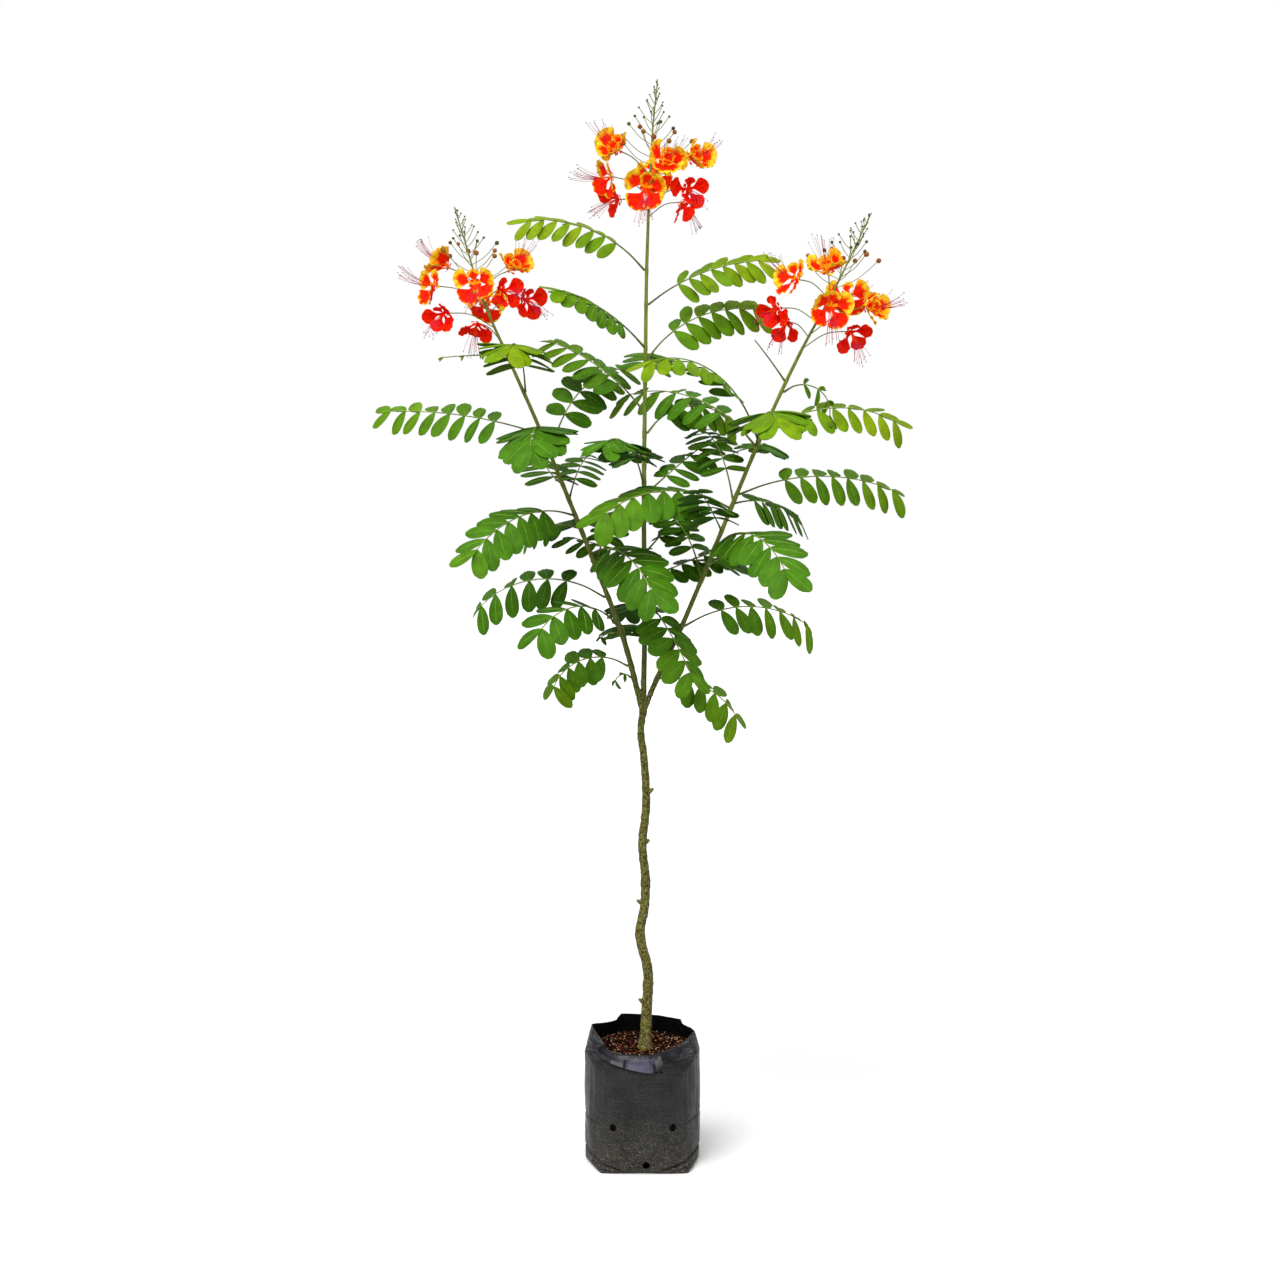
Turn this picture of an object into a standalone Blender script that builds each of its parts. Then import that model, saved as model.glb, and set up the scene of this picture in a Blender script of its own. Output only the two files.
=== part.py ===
"""Peacock flower seedling in a black plastic grow bag, for Blender 4.5.

Metres, +Z up. The origin is the centre of the bag's flat underside, and -Y
faces the viewer. A crooked trunk forks into three stems. Each stem carries
feathered leaves all round it and ends in a head of flowers.
"""

import math
from collections import namedtuple

import bmesh
import bpy
from mathutils import Matrix, Vector
from mathutils.bvhtree import BVHTree
from mathutils.geometry import interpolate_bezier

UP = Vector((0, 0, 1))
GAP = 0.0003

# The grow bag: a soft round bag with a pinched foot and a rim folded inwards.
BAG_RADIUS = 0.0748
BAG_FOOT_RADIUS = 0.0705
BAG_FOOT_HEIGHT = 0.006
BAG_FOOT_EDGE_RADIUS = 0.0743
BAG_BELLY_HEIGHT = 0.060
BAG_WALL = 0.0014
BAG_SEGMENTS = 28
SHOULDER_DROP = 0.028
RIM_RADIUS = 0.0670
RIM_MEAN_HEIGHT = 0.168
RIM_BACK_LIFT = 0.010
RIM_SIDE_LIFT = 0.005
RIM_FOLD = 0.003
RIM_WAVE = 0.0012
CUFF_RADIUS = 0.059
CUFF_CLEARANCE = 0.004

# The potting mix that fills it.
MIX_LEVEL = 0.147
MIX_FLAT_RADIUS = 0.020
MIX_SIDE_GAP = 0.0006
MIX_EASE = 0.002

# The trunk, from the mix to the top of its fork. Each bend is a height and a sideways place.
TRUNK_BENDS = (
    (0.200, 0.006), (0.250, 0.007), (0.298, -0.003), (0.335, 0.003), (0.372, 0.004),
    (0.415, 0.000), (0.470, 0.005), (0.530, 0.002), (0.562, -0.002),
)
TRUNK_DEPTH_BEND = 0.0025
TRUNK_DEPTH_WAVES = 40
TRUNK_FOOT_X = 0.004
TRUNK_BASE_RADIUS = 0.0074
TRUNK_TOP_RADIUS = 0.0047
ROOT_FLARE = 1.35
ROOT_FLARE_HEIGHT = 0.022
FORK_HEIGHT = 0.590
FORK_TOP = 0.630
FORK_OVERLAP = 0.006
# Stubs of old leaf stalks: height, heading in degrees.
TRUNK_STUBS = ((0.205, 180), (0.333, 170), (0.414, 20), (0.483, 0))
STUB_LENGTH = 0.008
STUB_RADII = (0.0031, 0.0014)

# The three stems above the fork: way points, then the radius at the fork and where the flowers start.
Stem = namedtuple("Stem", "way foot_radius top_radius flowers_from")
STEMS = {
    "left": Stem(
        ((0.000, 0.000, FORK_HEIGHT), (-0.022, 0.004, 0.675), (-0.043, 0.010, 0.733), (-0.132, 0.038, 0.950),
         (-0.175, 0.052, 1.046), (-0.206, 0.062, 1.117), (-0.226, 0.069, 1.182), (-0.242, 0.075, 1.234)),
        0.0039, 0.0022, 1.050,
    ),
    "middle": Stem(
        ((0.001, 0.002, FORK_HEIGHT), (0.003, 0.010, 0.700), (0.002, 0.014, 0.850), (0.004, 0.016, 1.050),
         (0.006, 0.014, 1.170), (0.012, 0.010, 1.310), (0.019, 0.006, 1.386)),
        0.0039, 0.0022, 1.180,
    ),
    "right": Stem(
        ((0.002, 0.000, FORK_HEIGHT), (0.018, -0.003, 0.630), (0.052, -0.012, 0.704), (0.149, -0.044, 0.943),
         (0.194, -0.058, 1.042), (0.236, -0.070, 1.122), (0.259, -0.076, 1.170), (0.280, -0.081, 1.215)),
        0.0036, 0.0022, 1.042,
    ),
}
STEM_STEP = 0.035
STEM_TIP_RADIUS = 0.0007

# Every leaf: the stem and height that it grows from, its heading (0 is right, 90 is away from the
# viewer), how steeply it rises, how far it bows over, its length, its pairs of leaflets, how far its
# upper side leans to the right of its heading, and the length of its largest leaflets.
Leaf = namedtuple("Leaf", "stem height heading rise bow length pairs roll leaflet")
LEAVES = (
    Leaf("middle", 1.150, 194, 50, 56, 0.184, 8, -14, 0.033),
    Leaf("middle", 1.107, -7, 39, 36, 0.172, 8, 24, 0.033),
    Leaf("middle", 1.054, 226, 39, 28, 0.176, 7, -12, 0.033),
    Leaf("middle", 1.040, 8, 55, 62, 0.179, 7, 27, 0.038),
    Leaf("middle", 1.012, 84, 40, 50, 0.150, 5, 10, 0.036),
    Leaf("middle", 0.975, 153, 49, 31, 0.175, 7, -8, 0.031),
    Leaf("middle", 0.945, 16, 57, 94, 0.140, 6, 33, 0.035),
    Leaf("middle", 0.905, 98, 20, 34, 0.150, 5, -8, 0.036),
    Leaf("middle", 0.884, -112, 60, 74, 0.165, 6, 1, 0.035),
    Leaf("middle", 0.867, 42, 34, 7, 0.160, 6, 2, 0.034),
    Leaf("middle", 0.794, 38, 42, 10, 0.105, 5, -3, 0.032),
    Leaf("middle", 0.788, 156, 12, 0, 0.118, 5, -7, 0.030),
    Leaf("middle", 0.756, 18, 27, 14, 0.134, 6, 4, 0.033),
    Leaf("middle", 0.733, -56, -32, 19, 0.154, 6, -4, 0.040),
    Leaf("middle", 0.705, 100, 26, 50, 0.160, 6, 0, 0.038),
    Leaf("left", 1.044, 194, 2, 8, 0.085, 3, -10, 0.009),
    Leaf("left", 0.996, -98, 77, 100, 0.160, 6, -2, 0.048),
    Leaf("left", 0.945, 162, 17, 19, 0.232, 8, -32, 0.038),
    Leaf("left", 0.936, -95, 31, 67, 0.171, 6, 5, 0.051),
    Leaf("left", 0.920, 47, 74, 69, 0.198, 7, 27, 0.035),
    Leaf("left", 0.880, 108, 8, -24, 0.152, 5, 5, 0.038),
    Leaf("left", 0.862, 76, 49, 43, 0.130, 5, 6, 0.031),
    Leaf("left", 0.840, 228, 16, 56, 0.208, 7, -24, 0.045),
    Leaf("left", 0.825, 150, 15, 48, 0.090, 4, -20, 0.028),
    Leaf("left", 0.818, 98, 18, 30, 0.150, 5, -6, 0.036),
    Leaf("left", 0.790, -64, 19, 61, 0.209, 7, 19, 0.047),
    Leaf("left", 0.779, 67, 66, 65, 0.135, 5, 5, 0.028),
    Leaf("left", 0.737, 169, 34, 79, 0.201, 7, -35, 0.037),
    Leaf("left", 0.700, 224, 46, 89, 0.167, 6, -23, 0.039),
    Leaf("left", 0.690, 205, 20, 60, 0.034, 1, 0, 0.015),
    Leaf("left", 0.668, 96, 40, 60, 0.128, 5, -6, 0.032),
    Leaf("left", 0.649, 183, 35, 103, 0.132, 6, -30, 0.028),
    Leaf("left", 0.634, 200, 50, 120, 0.032, 2, -10, 0.013),
    Leaf("right", 1.010, 206, 52, 5, 0.070, 0, 0, 0.010),
    Leaf("right", 0.998, 4, 42, 140, 0.095, 4, 40, 0.020),
    Leaf("right", 0.948, -6, 37, 64, 0.188, 7, 25, 0.033),
    Leaf("right", 0.938, 224, 66, 78, 0.245, 8, -8, 0.036),
    Leaf("right", 0.930, -82, 52, 72, 0.168, 6, 6, 0.053),
    Leaf("right", 0.929, 146, 49, 63, 0.236, 7, -23, 0.038),
    Leaf("right", 0.918, 78, 18, 30, 0.150, 5, 8, 0.036),
    Leaf("right", 0.870, 14, 23, 45, 0.232, 8, 32, 0.037),
    Leaf("right", 0.862, 108, 65, 59, 0.171, 6, -6, 0.033),
    Leaf("right", 0.858, 38, 10, 41, 0.131, 6, 24, 0.035),
    Leaf("right", 0.851, -151, 30, 62, 0.210, 7, -20, 0.044),
    Leaf("right", 0.824, -107, 32, 8, 0.129, 5, 6, 0.036),
    Leaf("right", 0.803, -66, 30, 70, 0.228, 7, 14, 0.048),
    Leaf("right", 0.775, 72, 12, 24, 0.150, 5, 8, 0.036),
    Leaf("right", 0.764, 118, 68, 66, 0.156, 6, 0, 0.030),
    Leaf("right", 0.701, 24, 29, 62, 0.208, 7, 30, 0.038),
    Leaf("right", 0.634, 2, 4, 62, 0.135, 5, 22, 0.038),
)
# The bare share of a stalk, and how far the last leaflets reach past its tip, in their own lengths.
STALK_SHARE = 0.28
TIP_OVERHANG = 0.55
STALK_STEPS = 6
STALK_BASE_RADIUS = 0.0013
STALK_TIP_RADIUS = 0.0008
# A leaflet's root starts this share of the stalk's radius out from the stalk's middle.
ROOT_SHARE = 0.1

# One leaflet: blunt, widest past its middle, with a low ridge. Length is 1.
LEAFLET_SHOULDER = 0.48
LEAFLET_TIP = 0.98
LEAFLET_WIDTH = 0.56
LEAFLET_TIP_WIDTH = 0.30
LEAFLET_THICKNESS = 0.032
LEAFLET_SWEEP = (12, 40)
LEAFLET_HANG = 14
LEAFLET_FIRST_SIZE = 0.72
LEAFLET_LAST_SIZE = 0.88
LEAFLET_SIZE_ARC = (0.25, 0.85)
# The last pair's place along the stalk, and the first pair's lead in pair spacings.
LAST_PAIR_AT = 0.985
PAIR_LEAD = 0.15
LEAFLET_CLEARANCE = 0.0006
HANG_TRIES = (0, 22, -22, 44)

# The flowers of each head: heading and distance from the stem, height, how far the face turns up and
# how far it turns aside from the heading.
Flower = namedtuple("Flower", "heading reach height lift turn age")
FLOWERS = {
    "left": (
        Flower(183, 0.060, 1.133, 8, 28, "open"),
        Flower(142, 0.046, 1.160, 34, 40, "young"),
        Flower(-90, 0.060, 1.133, 14, 0, "open"),
        Flower(-17, 0.055, 1.155, 34, -30, "young"),
        Flower(-52, 0.056, 1.124, 4, 10, "old"),
        Flower(8, 0.058, 1.114, -22, -24, "old"),
        Flower(206, 0.066, 1.094, -28, 20, "old"),
        Flower(-118, 0.046, 1.078, -62, 0, "old"),
        Flower(92, 0.056, 1.112, 0, 0, "open"),
    ),
    "middle": (
        Flower(215, 0.054, 1.298, 22, 20, "young"),
        Flower(-71, 0.058, 1.281, 18, 0, "young"),
        Flower(-21, 0.057, 1.287, 16, -28, "young"),
        Flower(-94, 0.066, 1.247, -4, 0, "open"),
        Flower(171, 0.054, 1.266, -6, 30, "open"),
        Flower(145, 0.052, 1.239, -16, 0, "old"),
        Flower(-33, 0.058, 1.247, -20, -20, "old"),
        Flower(25, 0.050, 1.232, -36, 0, "old"),
        Flower(83, 0.050, 1.274, 12, 0, "open"),
    ),
    "right": (
        Flower(190, 0.060, 1.136, 18, 30, "open"),
        Flower(-118, 0.050, 1.145, 42, 10, "young"),
        Flower(-87, 0.062, 1.099, -4, 0, "open"),
        Flower(-10, 0.055, 1.101, 0, -26, "young"),
        Flower(178, 0.060, 1.098, -14, 24, "old"),
        Flower(144, 0.044, 1.080, -56, 0, "old"),
        Flower(-37, 0.062, 1.066, -44, -16, "old"),
        Flower(62, 0.050, 1.116, 6, 0, "open"),
    ),
}
FLOWER_RADIUS = 0.0235
FLOWER_CUP = 0.009
FLOWER_THROAT = 0.004
PETALS = 5
PETAL_NOTCH = 0.55
PEDICEL_RISE = {"young": 0.034, "open": 0.026, "old": 0.016}
PEDICEL_RADIUS = 0.0008
PEDICEL_BOW = 0.12
STAMEN_LENGTH = 0.054
STAMEN_RADIUS = 0.0016

# The buds stand in a spiral above the flowers, smaller and closer in towards the tip.
BUDS = 12
BUD_TURN = 137.5
BUD_RADIUS = (0.0036, 0.0013)
BUD_STALK = (0.042, 0.006)
BUD_LIFT = (18, 58)
BUDS_FROM = 0.42
BUDS_TO = 0.97
BUD_STALK_EASE = 0.7

COLOURS = {
    "bag": ((0.025, 0.026, 0.030), 0.42),
    "mix": ((0.090, 0.035, 0.018), 0.95),
    "bark": ((0.120, 0.125, 0.035), 0.80),
    "stem": ((0.100, 0.170, 0.030), 0.60),
    "leaf": ((0.040, 0.170, 0.016), 0.45),
    "bloom": ((0.800, 0.080, 0.010), 0.50),
}


def clear_scene():
    for obj in list(bpy.data.objects):
        bpy.data.objects.remove(obj, do_unlink=True)


def material(name):
    """A Principled material of one of the plant's colours, made once."""
    if name in bpy.data.materials:
        return bpy.data.materials[name]
    colour, roughness = COLOURS[name]
    made = bpy.data.materials.new(name)
    made.use_nodes = True
    shader = made.node_tree.nodes["Principled BSDF"]
    shader.inputs["Base Color"].default_value = (*colour, 1)
    shader.inputs["Roughness"].default_value = roughness
    shader.inputs["Metallic"].default_value = 0
    made.diffuse_color = (*colour, 1)
    return made


def object_from(name, mesh, collection):
    obj = bpy.data.objects.new(name, mesh)
    collection.objects.link(obj)
    return obj


def object_from_bmesh(name, work, collection):
    """Turns a bmesh into an object with its faces pointing out."""
    bmesh.ops.recalc_face_normals(work, faces=work.faces)
    if work.calc_volume(signed=True) < 0 and not any(edge.is_boundary for edge in work.edges):
        bmesh.ops.reverse_faces(work, faces=work.faces)
    mesh = bpy.data.meshes.new(name)
    work.to_mesh(mesh)
    work.free()
    return object_from(name, mesh, collection)


def finish(obj, name, colour):
    """Names a finished node, gives it its colour and smooths its round sides."""
    obj.name = name
    obj.data.name = name
    obj.data.materials.clear()
    obj.data.materials.append(material(colour))
    obj.data.shade_smooth()
    obj.data.set_sharp_from_angle(angle=math.radians(40))
    return obj


def as_mesh(obj, weld=False):
    """Replaces an object by the mesh that its curve or modifiers make; a curve's loose caps are welded on."""
    graph = bpy.context.evaluated_depsgraph_get()
    mesh = bpy.data.meshes.new_from_object(obj.evaluated_get(graph))
    if weld:
        work = bmesh.new()
        work.from_mesh(mesh)
        bmesh.ops.remove_doubles(work, verts=work.verts, dist=1e-6)
        bmesh.ops.recalc_face_normals(work, faces=work.faces)
        work.to_mesh(mesh)
        work.free()
    name, place, collection = obj.name, obj.matrix_world.copy(), obj.users_collection[0]
    bpy.data.objects.remove(obj, do_unlink=True)
    made = object_from(name, mesh, collection)
    made.matrix_world = place
    return made


def twig_profile():
    """The three-sided section that every thin twig is drawn with."""
    if "twig_profile" in bpy.data.objects:
        return bpy.data.objects["twig_profile"]
    curve = bpy.data.curves.new("twig_profile", "CURVE")
    spline = curve.splines.new("POLY")
    spline.points.add(2)
    for corner, point in enumerate(spline.points):
        turn = math.tau * corner / 3
        point.co = (math.cos(turn), math.sin(turn), 0, 1)
    spline.use_cyclic_u = True
    profile = object_from("twig_profile", curve, bpy.data.collections["helpers"])
    profile.hide_render = True
    return profile


def tube(name, path, radii, collection, round_section=True):
    """A tapering tube along a path: eight sides, or three where it is a twig."""
    curve = bpy.data.curves.new(name, "CURVE")
    curve.dimensions = "3D"
    curve.use_fill_caps = True
    if round_section:
        curve.bevel_depth = 1.0
        curve.bevel_resolution = 2
    else:
        curve.bevel_mode = "OBJECT"
        curve.bevel_object = twig_profile()
    spline = curve.splines.new("POLY")
    spline.points.add(len(path) - 1)
    for point, place, radius in zip(spline.points, path, radii):
        point.co = (*place, 1)
        point.radius = radius
    return as_mesh(object_from(name, curve, collection), weld=True)


def fuse(body, others, solver="EXACT"):
    """One Boolean union of a body with a collection of others, applied, with the others removed."""
    joined = bpy.data.collections.new("joined")
    bpy.context.scene.collection.children.link(joined)
    for other in others:
        for owner in list(other.users_collection):
            owner.objects.unlink(other)
        joined.objects.link(other)
    union = body.modifiers.new("union", "BOOLEAN")
    union.operation = "UNION"
    union.operand_type = "COLLECTION"
    union.collection = joined
    union.solver = solver
    made = as_mesh(body)
    for other in others:
        bpy.data.objects.remove(other, do_unlink=True)
    bpy.data.collections.remove(joined)
    return made


def smooth_path(way, step):
    """Points a step apart along a smooth curve through the way points."""
    way = [Vector(point) for point in way]
    handles = []
    for i, point in enumerate(way):
        before, after = way[max(i - 1, 0)], way[min(i + 1, len(way) - 1)]
        handles.append((after - before).normalized())
    path = [way[0]]
    for i in range(len(way) - 1):
        span = (way[i + 1] - way[i]).length
        count = max(2, round(span / step) + 1)
        ends = (way[i], way[i] + handles[i] * span / 3, way[i + 1] - handles[i + 1] * span / 3, way[i + 1])
        path += interpolate_bezier(*ends, count)[1:]
    return path


def part_between(path, low, high):
    """The stretch of a rising path between two heights, with its two ends cut there."""
    def at(height):
        for first, second in zip(path, path[1:]):
            if first.z <= height <= second.z:
                return first.lerp(second, (height - first.z) / (second.z - first.z))
        return path[-1].copy()
    inner = [point for point in path if low + STEM_STEP / 4 < point.z < high - STEM_STEP / 4]
    return [at(low), *inner, at(high)]


def blend(pair, share):
    """The value a share of the way from the first of a pair to the second."""
    return pair[0] + (pair[1] - pair[0]) * share


def stem_path(name):
    return smooth_path(STEMS[name].way, STEM_STEP)


def stem_radius(name, height):
    """A stem's radius: an even taper to where its flowers start, then a quicker one to its tip."""
    stem = STEMS[name]
    if height <= stem.flowers_from:
        share = (height - FORK_HEIGHT) / (stem.flowers_from - FORK_HEIGHT)
        return blend((stem.foot_radius, stem.top_radius), share)
    share = (height - stem.flowers_from) / (stem.way[-1][2] - stem.flowers_from)
    return blend((stem.top_radius, STEM_TIP_RADIUS), share)


def stem_at(name, height):
    """The stem's centre and direction at a height."""
    path = stem_path(name)
    for first, second in zip(path, path[1:]):
        if first.z <= height <= second.z:
            share = (height - first.z) / (second.z - first.z)
            return first.lerp(second, share), (second - first).normalized()
    return path[-1], (path[-1] - path[-2]).normalized()


def heading_vector(degrees, rise=0):
    """A unit vector with this compass heading and rise."""
    heading, rise = math.radians(degrees), math.radians(rise)
    return Vector((math.cos(rise) * math.cos(heading), math.cos(rise) * math.sin(heading), math.sin(rise)))


def bag_rim(angle):
    """The rim's height: high at the back and sides, low in front."""
    return (RIM_MEAN_HEIGHT + RIM_BACK_LIFT * math.sin(angle) - RIM_SIDE_LIFT * math.cos(angle)
            + RIM_FOLD * math.cos(2 * angle))


def bag_rings(angle):
    """The bag's outline at one angle, as radius and height, from the foot over the rim into the cuff."""
    rim = bag_rim(angle)
    return (
        (BAG_FOOT_RADIUS, 0.0),
        (BAG_FOOT_EDGE_RADIUS, BAG_FOOT_HEIGHT),
        (BAG_RADIUS, BAG_BELLY_HEIGHT),
        (BAG_RADIUS, rim - SHOULDER_DROP),
        (RIM_RADIUS + RIM_WAVE * math.sin(3 * angle), rim),
        (CUFF_RADIUS, MIX_LEVEL + CUFF_CLEARANCE),
    )


def ring_shell(rings_at, closed_top):
    """A bmesh that starts as a disc and grows ring by ring along the outline at each angle."""
    work = bmesh.new()
    bmesh.ops.create_circle(work, cap_ends=True, segments=BAG_SEGMENTS, radius=1)
    edges = list(work.edges)
    levels = len(rings_at(0))
    for level in range(levels):
        if level:
            grown = bmesh.ops.extrude_edge_only(work, edges=edges)["geom"]
            edges = [item for item in grown if isinstance(item, bmesh.types.BMEdge)]
            edges = [edge for edge in edges if edge.is_boundary]
        for vert in {vert for edge in edges for vert in edge.verts}:
            angle = math.atan2(vert.co.y, vert.co.x)
            radius, height = rings_at(angle)[level]
            vert.co = (radius * math.cos(angle), radius * math.sin(angle), height)
    if closed_top:
        bmesh.ops.contextual_create(work, geom=edges)
    return work


def make_bag(collection):
    """The bag's skin, given its wall inwards."""
    bag = object_from_bmesh("grow_bag", ring_shell(bag_rings, False), collection)
    wall = bag.modifiers.new("wall", "SOLIDIFY")
    wall.thickness = BAG_WALL
    wall.offset = -1
    wall.use_even_offset = True
    return finish(bag, "grow_bag", "bag")


def make_mix(collection):
    """The mix's solid: it follows the bag's inside and is flat on top."""
    inset = BAG_WALL + MIX_SIDE_GAP

    def rings(angle):
        return (
            (BAG_FOOT_RADIUS - inset, BAG_WALL + GAP),
            (BAG_FOOT_EDGE_RADIUS - inset - MIX_SIDE_GAP, BAG_FOOT_HEIGHT + GAP),
            (BAG_RADIUS - inset, BAG_BELLY_HEIGHT),
            (BAG_RADIUS - inset - MIX_EASE, bag_rim(angle) - SHOULDER_DROP - MIX_EASE),
            (RIM_RADIUS - inset - 2 * MIX_EASE, MIX_LEVEL - 3 * MIX_EASE),
            (CUFF_RADIUS - MIX_EASE, MIX_LEVEL),
            (MIX_FLAT_RADIUS, MIX_LEVEL),
        )
    return finish(object_from_bmesh("potting_mix", ring_shell(rings, True), collection), "potting_mix", "mix")


def trunk_path():
    """The trunk's crooked centre line, from the mix to its fork."""
    foot = Vector((TRUNK_FOOT_X, 0, MIX_LEVEL + GAP))
    way = [foot, foot + UP * ROOT_FLARE_HEIGHT / 2]
    for height, x in TRUNK_BENDS:
        way.append(Vector((x, TRUNK_DEPTH_BEND * math.sin(height * TRUNK_DEPTH_WAVES), height)))
    way.append(Vector(STEMS["middle"].way[0]))
    return smooth_path(way, STEM_STEP)


def trunk_radius(height):
    """The trunk's radius: an even taper, wider where the roots begin."""
    share = (height - MIX_LEVEL) / (FORK_HEIGHT - MIX_LEVEL)
    flare = max(0.0, 1 - (height - MIX_LEVEL) / ROOT_FLARE_HEIGHT)
    return blend((TRUNK_BASE_RADIUS, TRUNK_TOP_RADIUS), share) * blend((1, ROOT_FLARE), flare)


def make_trunk(collection):
    """The trunk up to its fork, with the first stretch of each stem and the stubs of old stalks."""
    path = trunk_path()
    trunk = tube("trunk", path, [trunk_radius(point.z) for point in path], collection)
    limbs = []
    for name in STEMS:
        stretch = part_between(stem_path(name), FORK_HEIGHT, FORK_TOP)
        stretch[0] = Vector(STEMS["middle"].way[0]) - UP * FORK_OVERLAP
        limbs.append(tube("fork", stretch, [stem_radius(name, point.z) for point in stretch], collection))
    for height, heading in TRUNK_STUBS:
        centre = min(path, key=lambda point: abs(point.z - height))
        out = heading_vector(heading, 35)
        ends = [centre, centre + out * (trunk_radius(height) + STUB_LENGTH)]
        limbs.append(tube("stub", ends, STUB_RADII, collection, False))
    return finish(fuse(trunk, limbs), "trunk", "bark")


def make_bough(name, collection):
    """One stem from the fork to where its flowers start."""
    path = part_between(stem_path(name), FORK_TOP + GAP * 1.5, STEMS[name].flowers_from)
    bough = tube(name, path, [stem_radius(name, point.z) for point in path], collection)
    return finish(bough, "bough_" + name, "stem")


def leaf_course(leaf):
    """The points of a leaf's stalk, from its foot beside the stem to its tip."""
    centre, along = stem_at(leaf.stem, leaf.height)
    start = heading_vector(leaf.heading, leaf.rise)
    out = (start - along * start.dot(along)).normalized()
    lean = math.sqrt(max(0, 1 - start.dot(out) ** 2))
    foot = centre + out * (stem_radius(leaf.stem, leaf.height) + GAP + STALK_BASE_RADIUS * lean)
    path = [foot]
    stride = (leaf.length - leaf.leaflet * TIP_OVERHANG) / STALK_STEPS
    for step in range(STALK_STEPS):
        rise = leaf.rise - leaf.bow * (step + 0.5) / STALK_STEPS
        path.append(path[-1] + heading_vector(leaf.heading, rise) * stride)
    return path


def leaf_frame(leaf, path, share):
    """Place, direction and upper side of the blade at a share of the leaf's length."""
    reach = share * STALK_STEPS
    step = min(int(reach), STALK_STEPS - 1)
    place = path[step].lerp(path[step + 1], reach - step)
    along = heading_vector(leaf.heading, leaf.rise - leaf.bow * share)
    right = along.cross(UP).normalized()
    upper = right.cross(along)
    tilt = math.radians(leaf.roll)
    upper = (upper * math.cos(tilt) + right * math.sin(tilt)).normalized()
    return place, along, upper


def stalk_radius(share):
    """A leaf stalk's radius at a share of its length."""
    return blend((STALK_BASE_RADIUS, STALK_TIP_RADIUS), share)


def leaflet_matrix(leaf, path, pair, side, extra_hang):
    """The frame of one leaflet: X along it, Z on its upper side, scaled to its length."""
    order = pair / max(1, leaf.pairs - 1)
    share = blend((STALK_SHARE, LAST_PAIR_AT), (pair + PAIR_LEAD) / (leaf.pairs - 1 + PAIR_LEAD))
    place, along, upper = leaf_frame(leaf, path, share)
    across = along.cross(upper) * side
    sweep = math.radians(blend(LEAFLET_SWEEP, order ** 2))
    out = across * math.cos(sweep) + along * math.sin(sweep)
    hang = math.radians(LEAFLET_HANG + extra_hang)
    axis = out * math.cos(hang) - upper * math.sin(hang)
    normal = upper * math.cos(hang) + out * math.sin(hang)
    bulge = math.sin(math.pi * blend(LEAFLET_SIZE_ARC, order))
    ends = blend((LEAFLET_FIRST_SIZE, LEAFLET_LAST_SIZE), order)
    size = leaf.leaflet * (ends + (1 - ends) * bulge)
    turn = Matrix((axis, normal.cross(axis), normal)).transposed().to_4x4()
    sunk = place + axis * stalk_radius(share) * ROOT_SHARE
    return Matrix.Translation(sunk) @ turn @ Matrix.Scale(size, 4)


def leaflet_bmesh(matrix, clearance=0.0):
    """A five-cornered low pyramid, swollen by the clearance, in a leaflet's frame."""
    swell = clearance / matrix.median_scale
    work = bmesh.new()
    bmesh.ops.create_cone(work, cap_ends=True, segments=5, radius1=1, radius2=0, depth=1)
    outline = (
        (-swell, 0),
        (LEAFLET_SHOULDER, -LEAFLET_WIDTH / 2 - swell),
        (LEAFLET_TIP + swell, -LEAFLET_TIP_WIDTH / 2 - swell),
        (LEAFLET_TIP + swell, LEAFLET_TIP_WIDTH / 2 + swell),
        (LEAFLET_SHOULDER, LEAFLET_WIDTH / 2 + swell),
    )
    corners = sorted((vert for vert in work.verts if vert.co.z < 0),
                     key=lambda vert: math.atan2(vert.co.y, vert.co.x))
    peak = max(work.verts, key=lambda vert: vert.co.z)
    for corner, (x, y) in zip(corners, outline):
        corner.co = (x, y, -swell)
    peak.co = (LEAFLET_SHOULDER * 0.9, 0, LEAFLET_THICKNESS + swell)
    work.transform(matrix)
    return work


class Room:
    """Remembers what is already placed, so that a leaflet that would touch it is left off."""

    def __init__(self):
        self.trees = []

    def add(self, owner, work):
        low = Vector(min(vert.co[i] for vert in work.verts) for i in range(3))
        high = Vector(max(vert.co[i] for vert in work.verts) for i in range(3))
        self.trees.append((owner, low, high, BVHTree.FromBMesh(work)))

    def add_object(self, obj):
        work = bmesh.new()
        work.from_mesh(obj.data)
        work.transform(obj.matrix_world)
        self.add(obj.name, work)
        work.free()

    def clear(self, owner, work):
        low = Vector(min(vert.co[i] for vert in work.verts) for i in range(3))
        high = Vector(max(vert.co[i] for vert in work.verts) for i in range(3))
        own = BVHTree.FromBMesh(work)
        for other, other_low, other_high, tree in self.trees:
            near = all(low[i] <= other_high[i] and high[i] >= other_low[i] for i in range(3))
            if other != owner and near and own.overlap(tree):
                return False
        return True


def leaf_names():
    """The node name of every leaf: its stem and its number on that stem, from the top down."""
    counts = dict.fromkeys(STEMS, 0)
    names = []
    for leaf in LEAVES:
        counts[leaf.stem] += 1
        names.append(f"leaf_{leaf.stem}_{counts[leaf.stem]:02d}")
    return names


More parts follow.
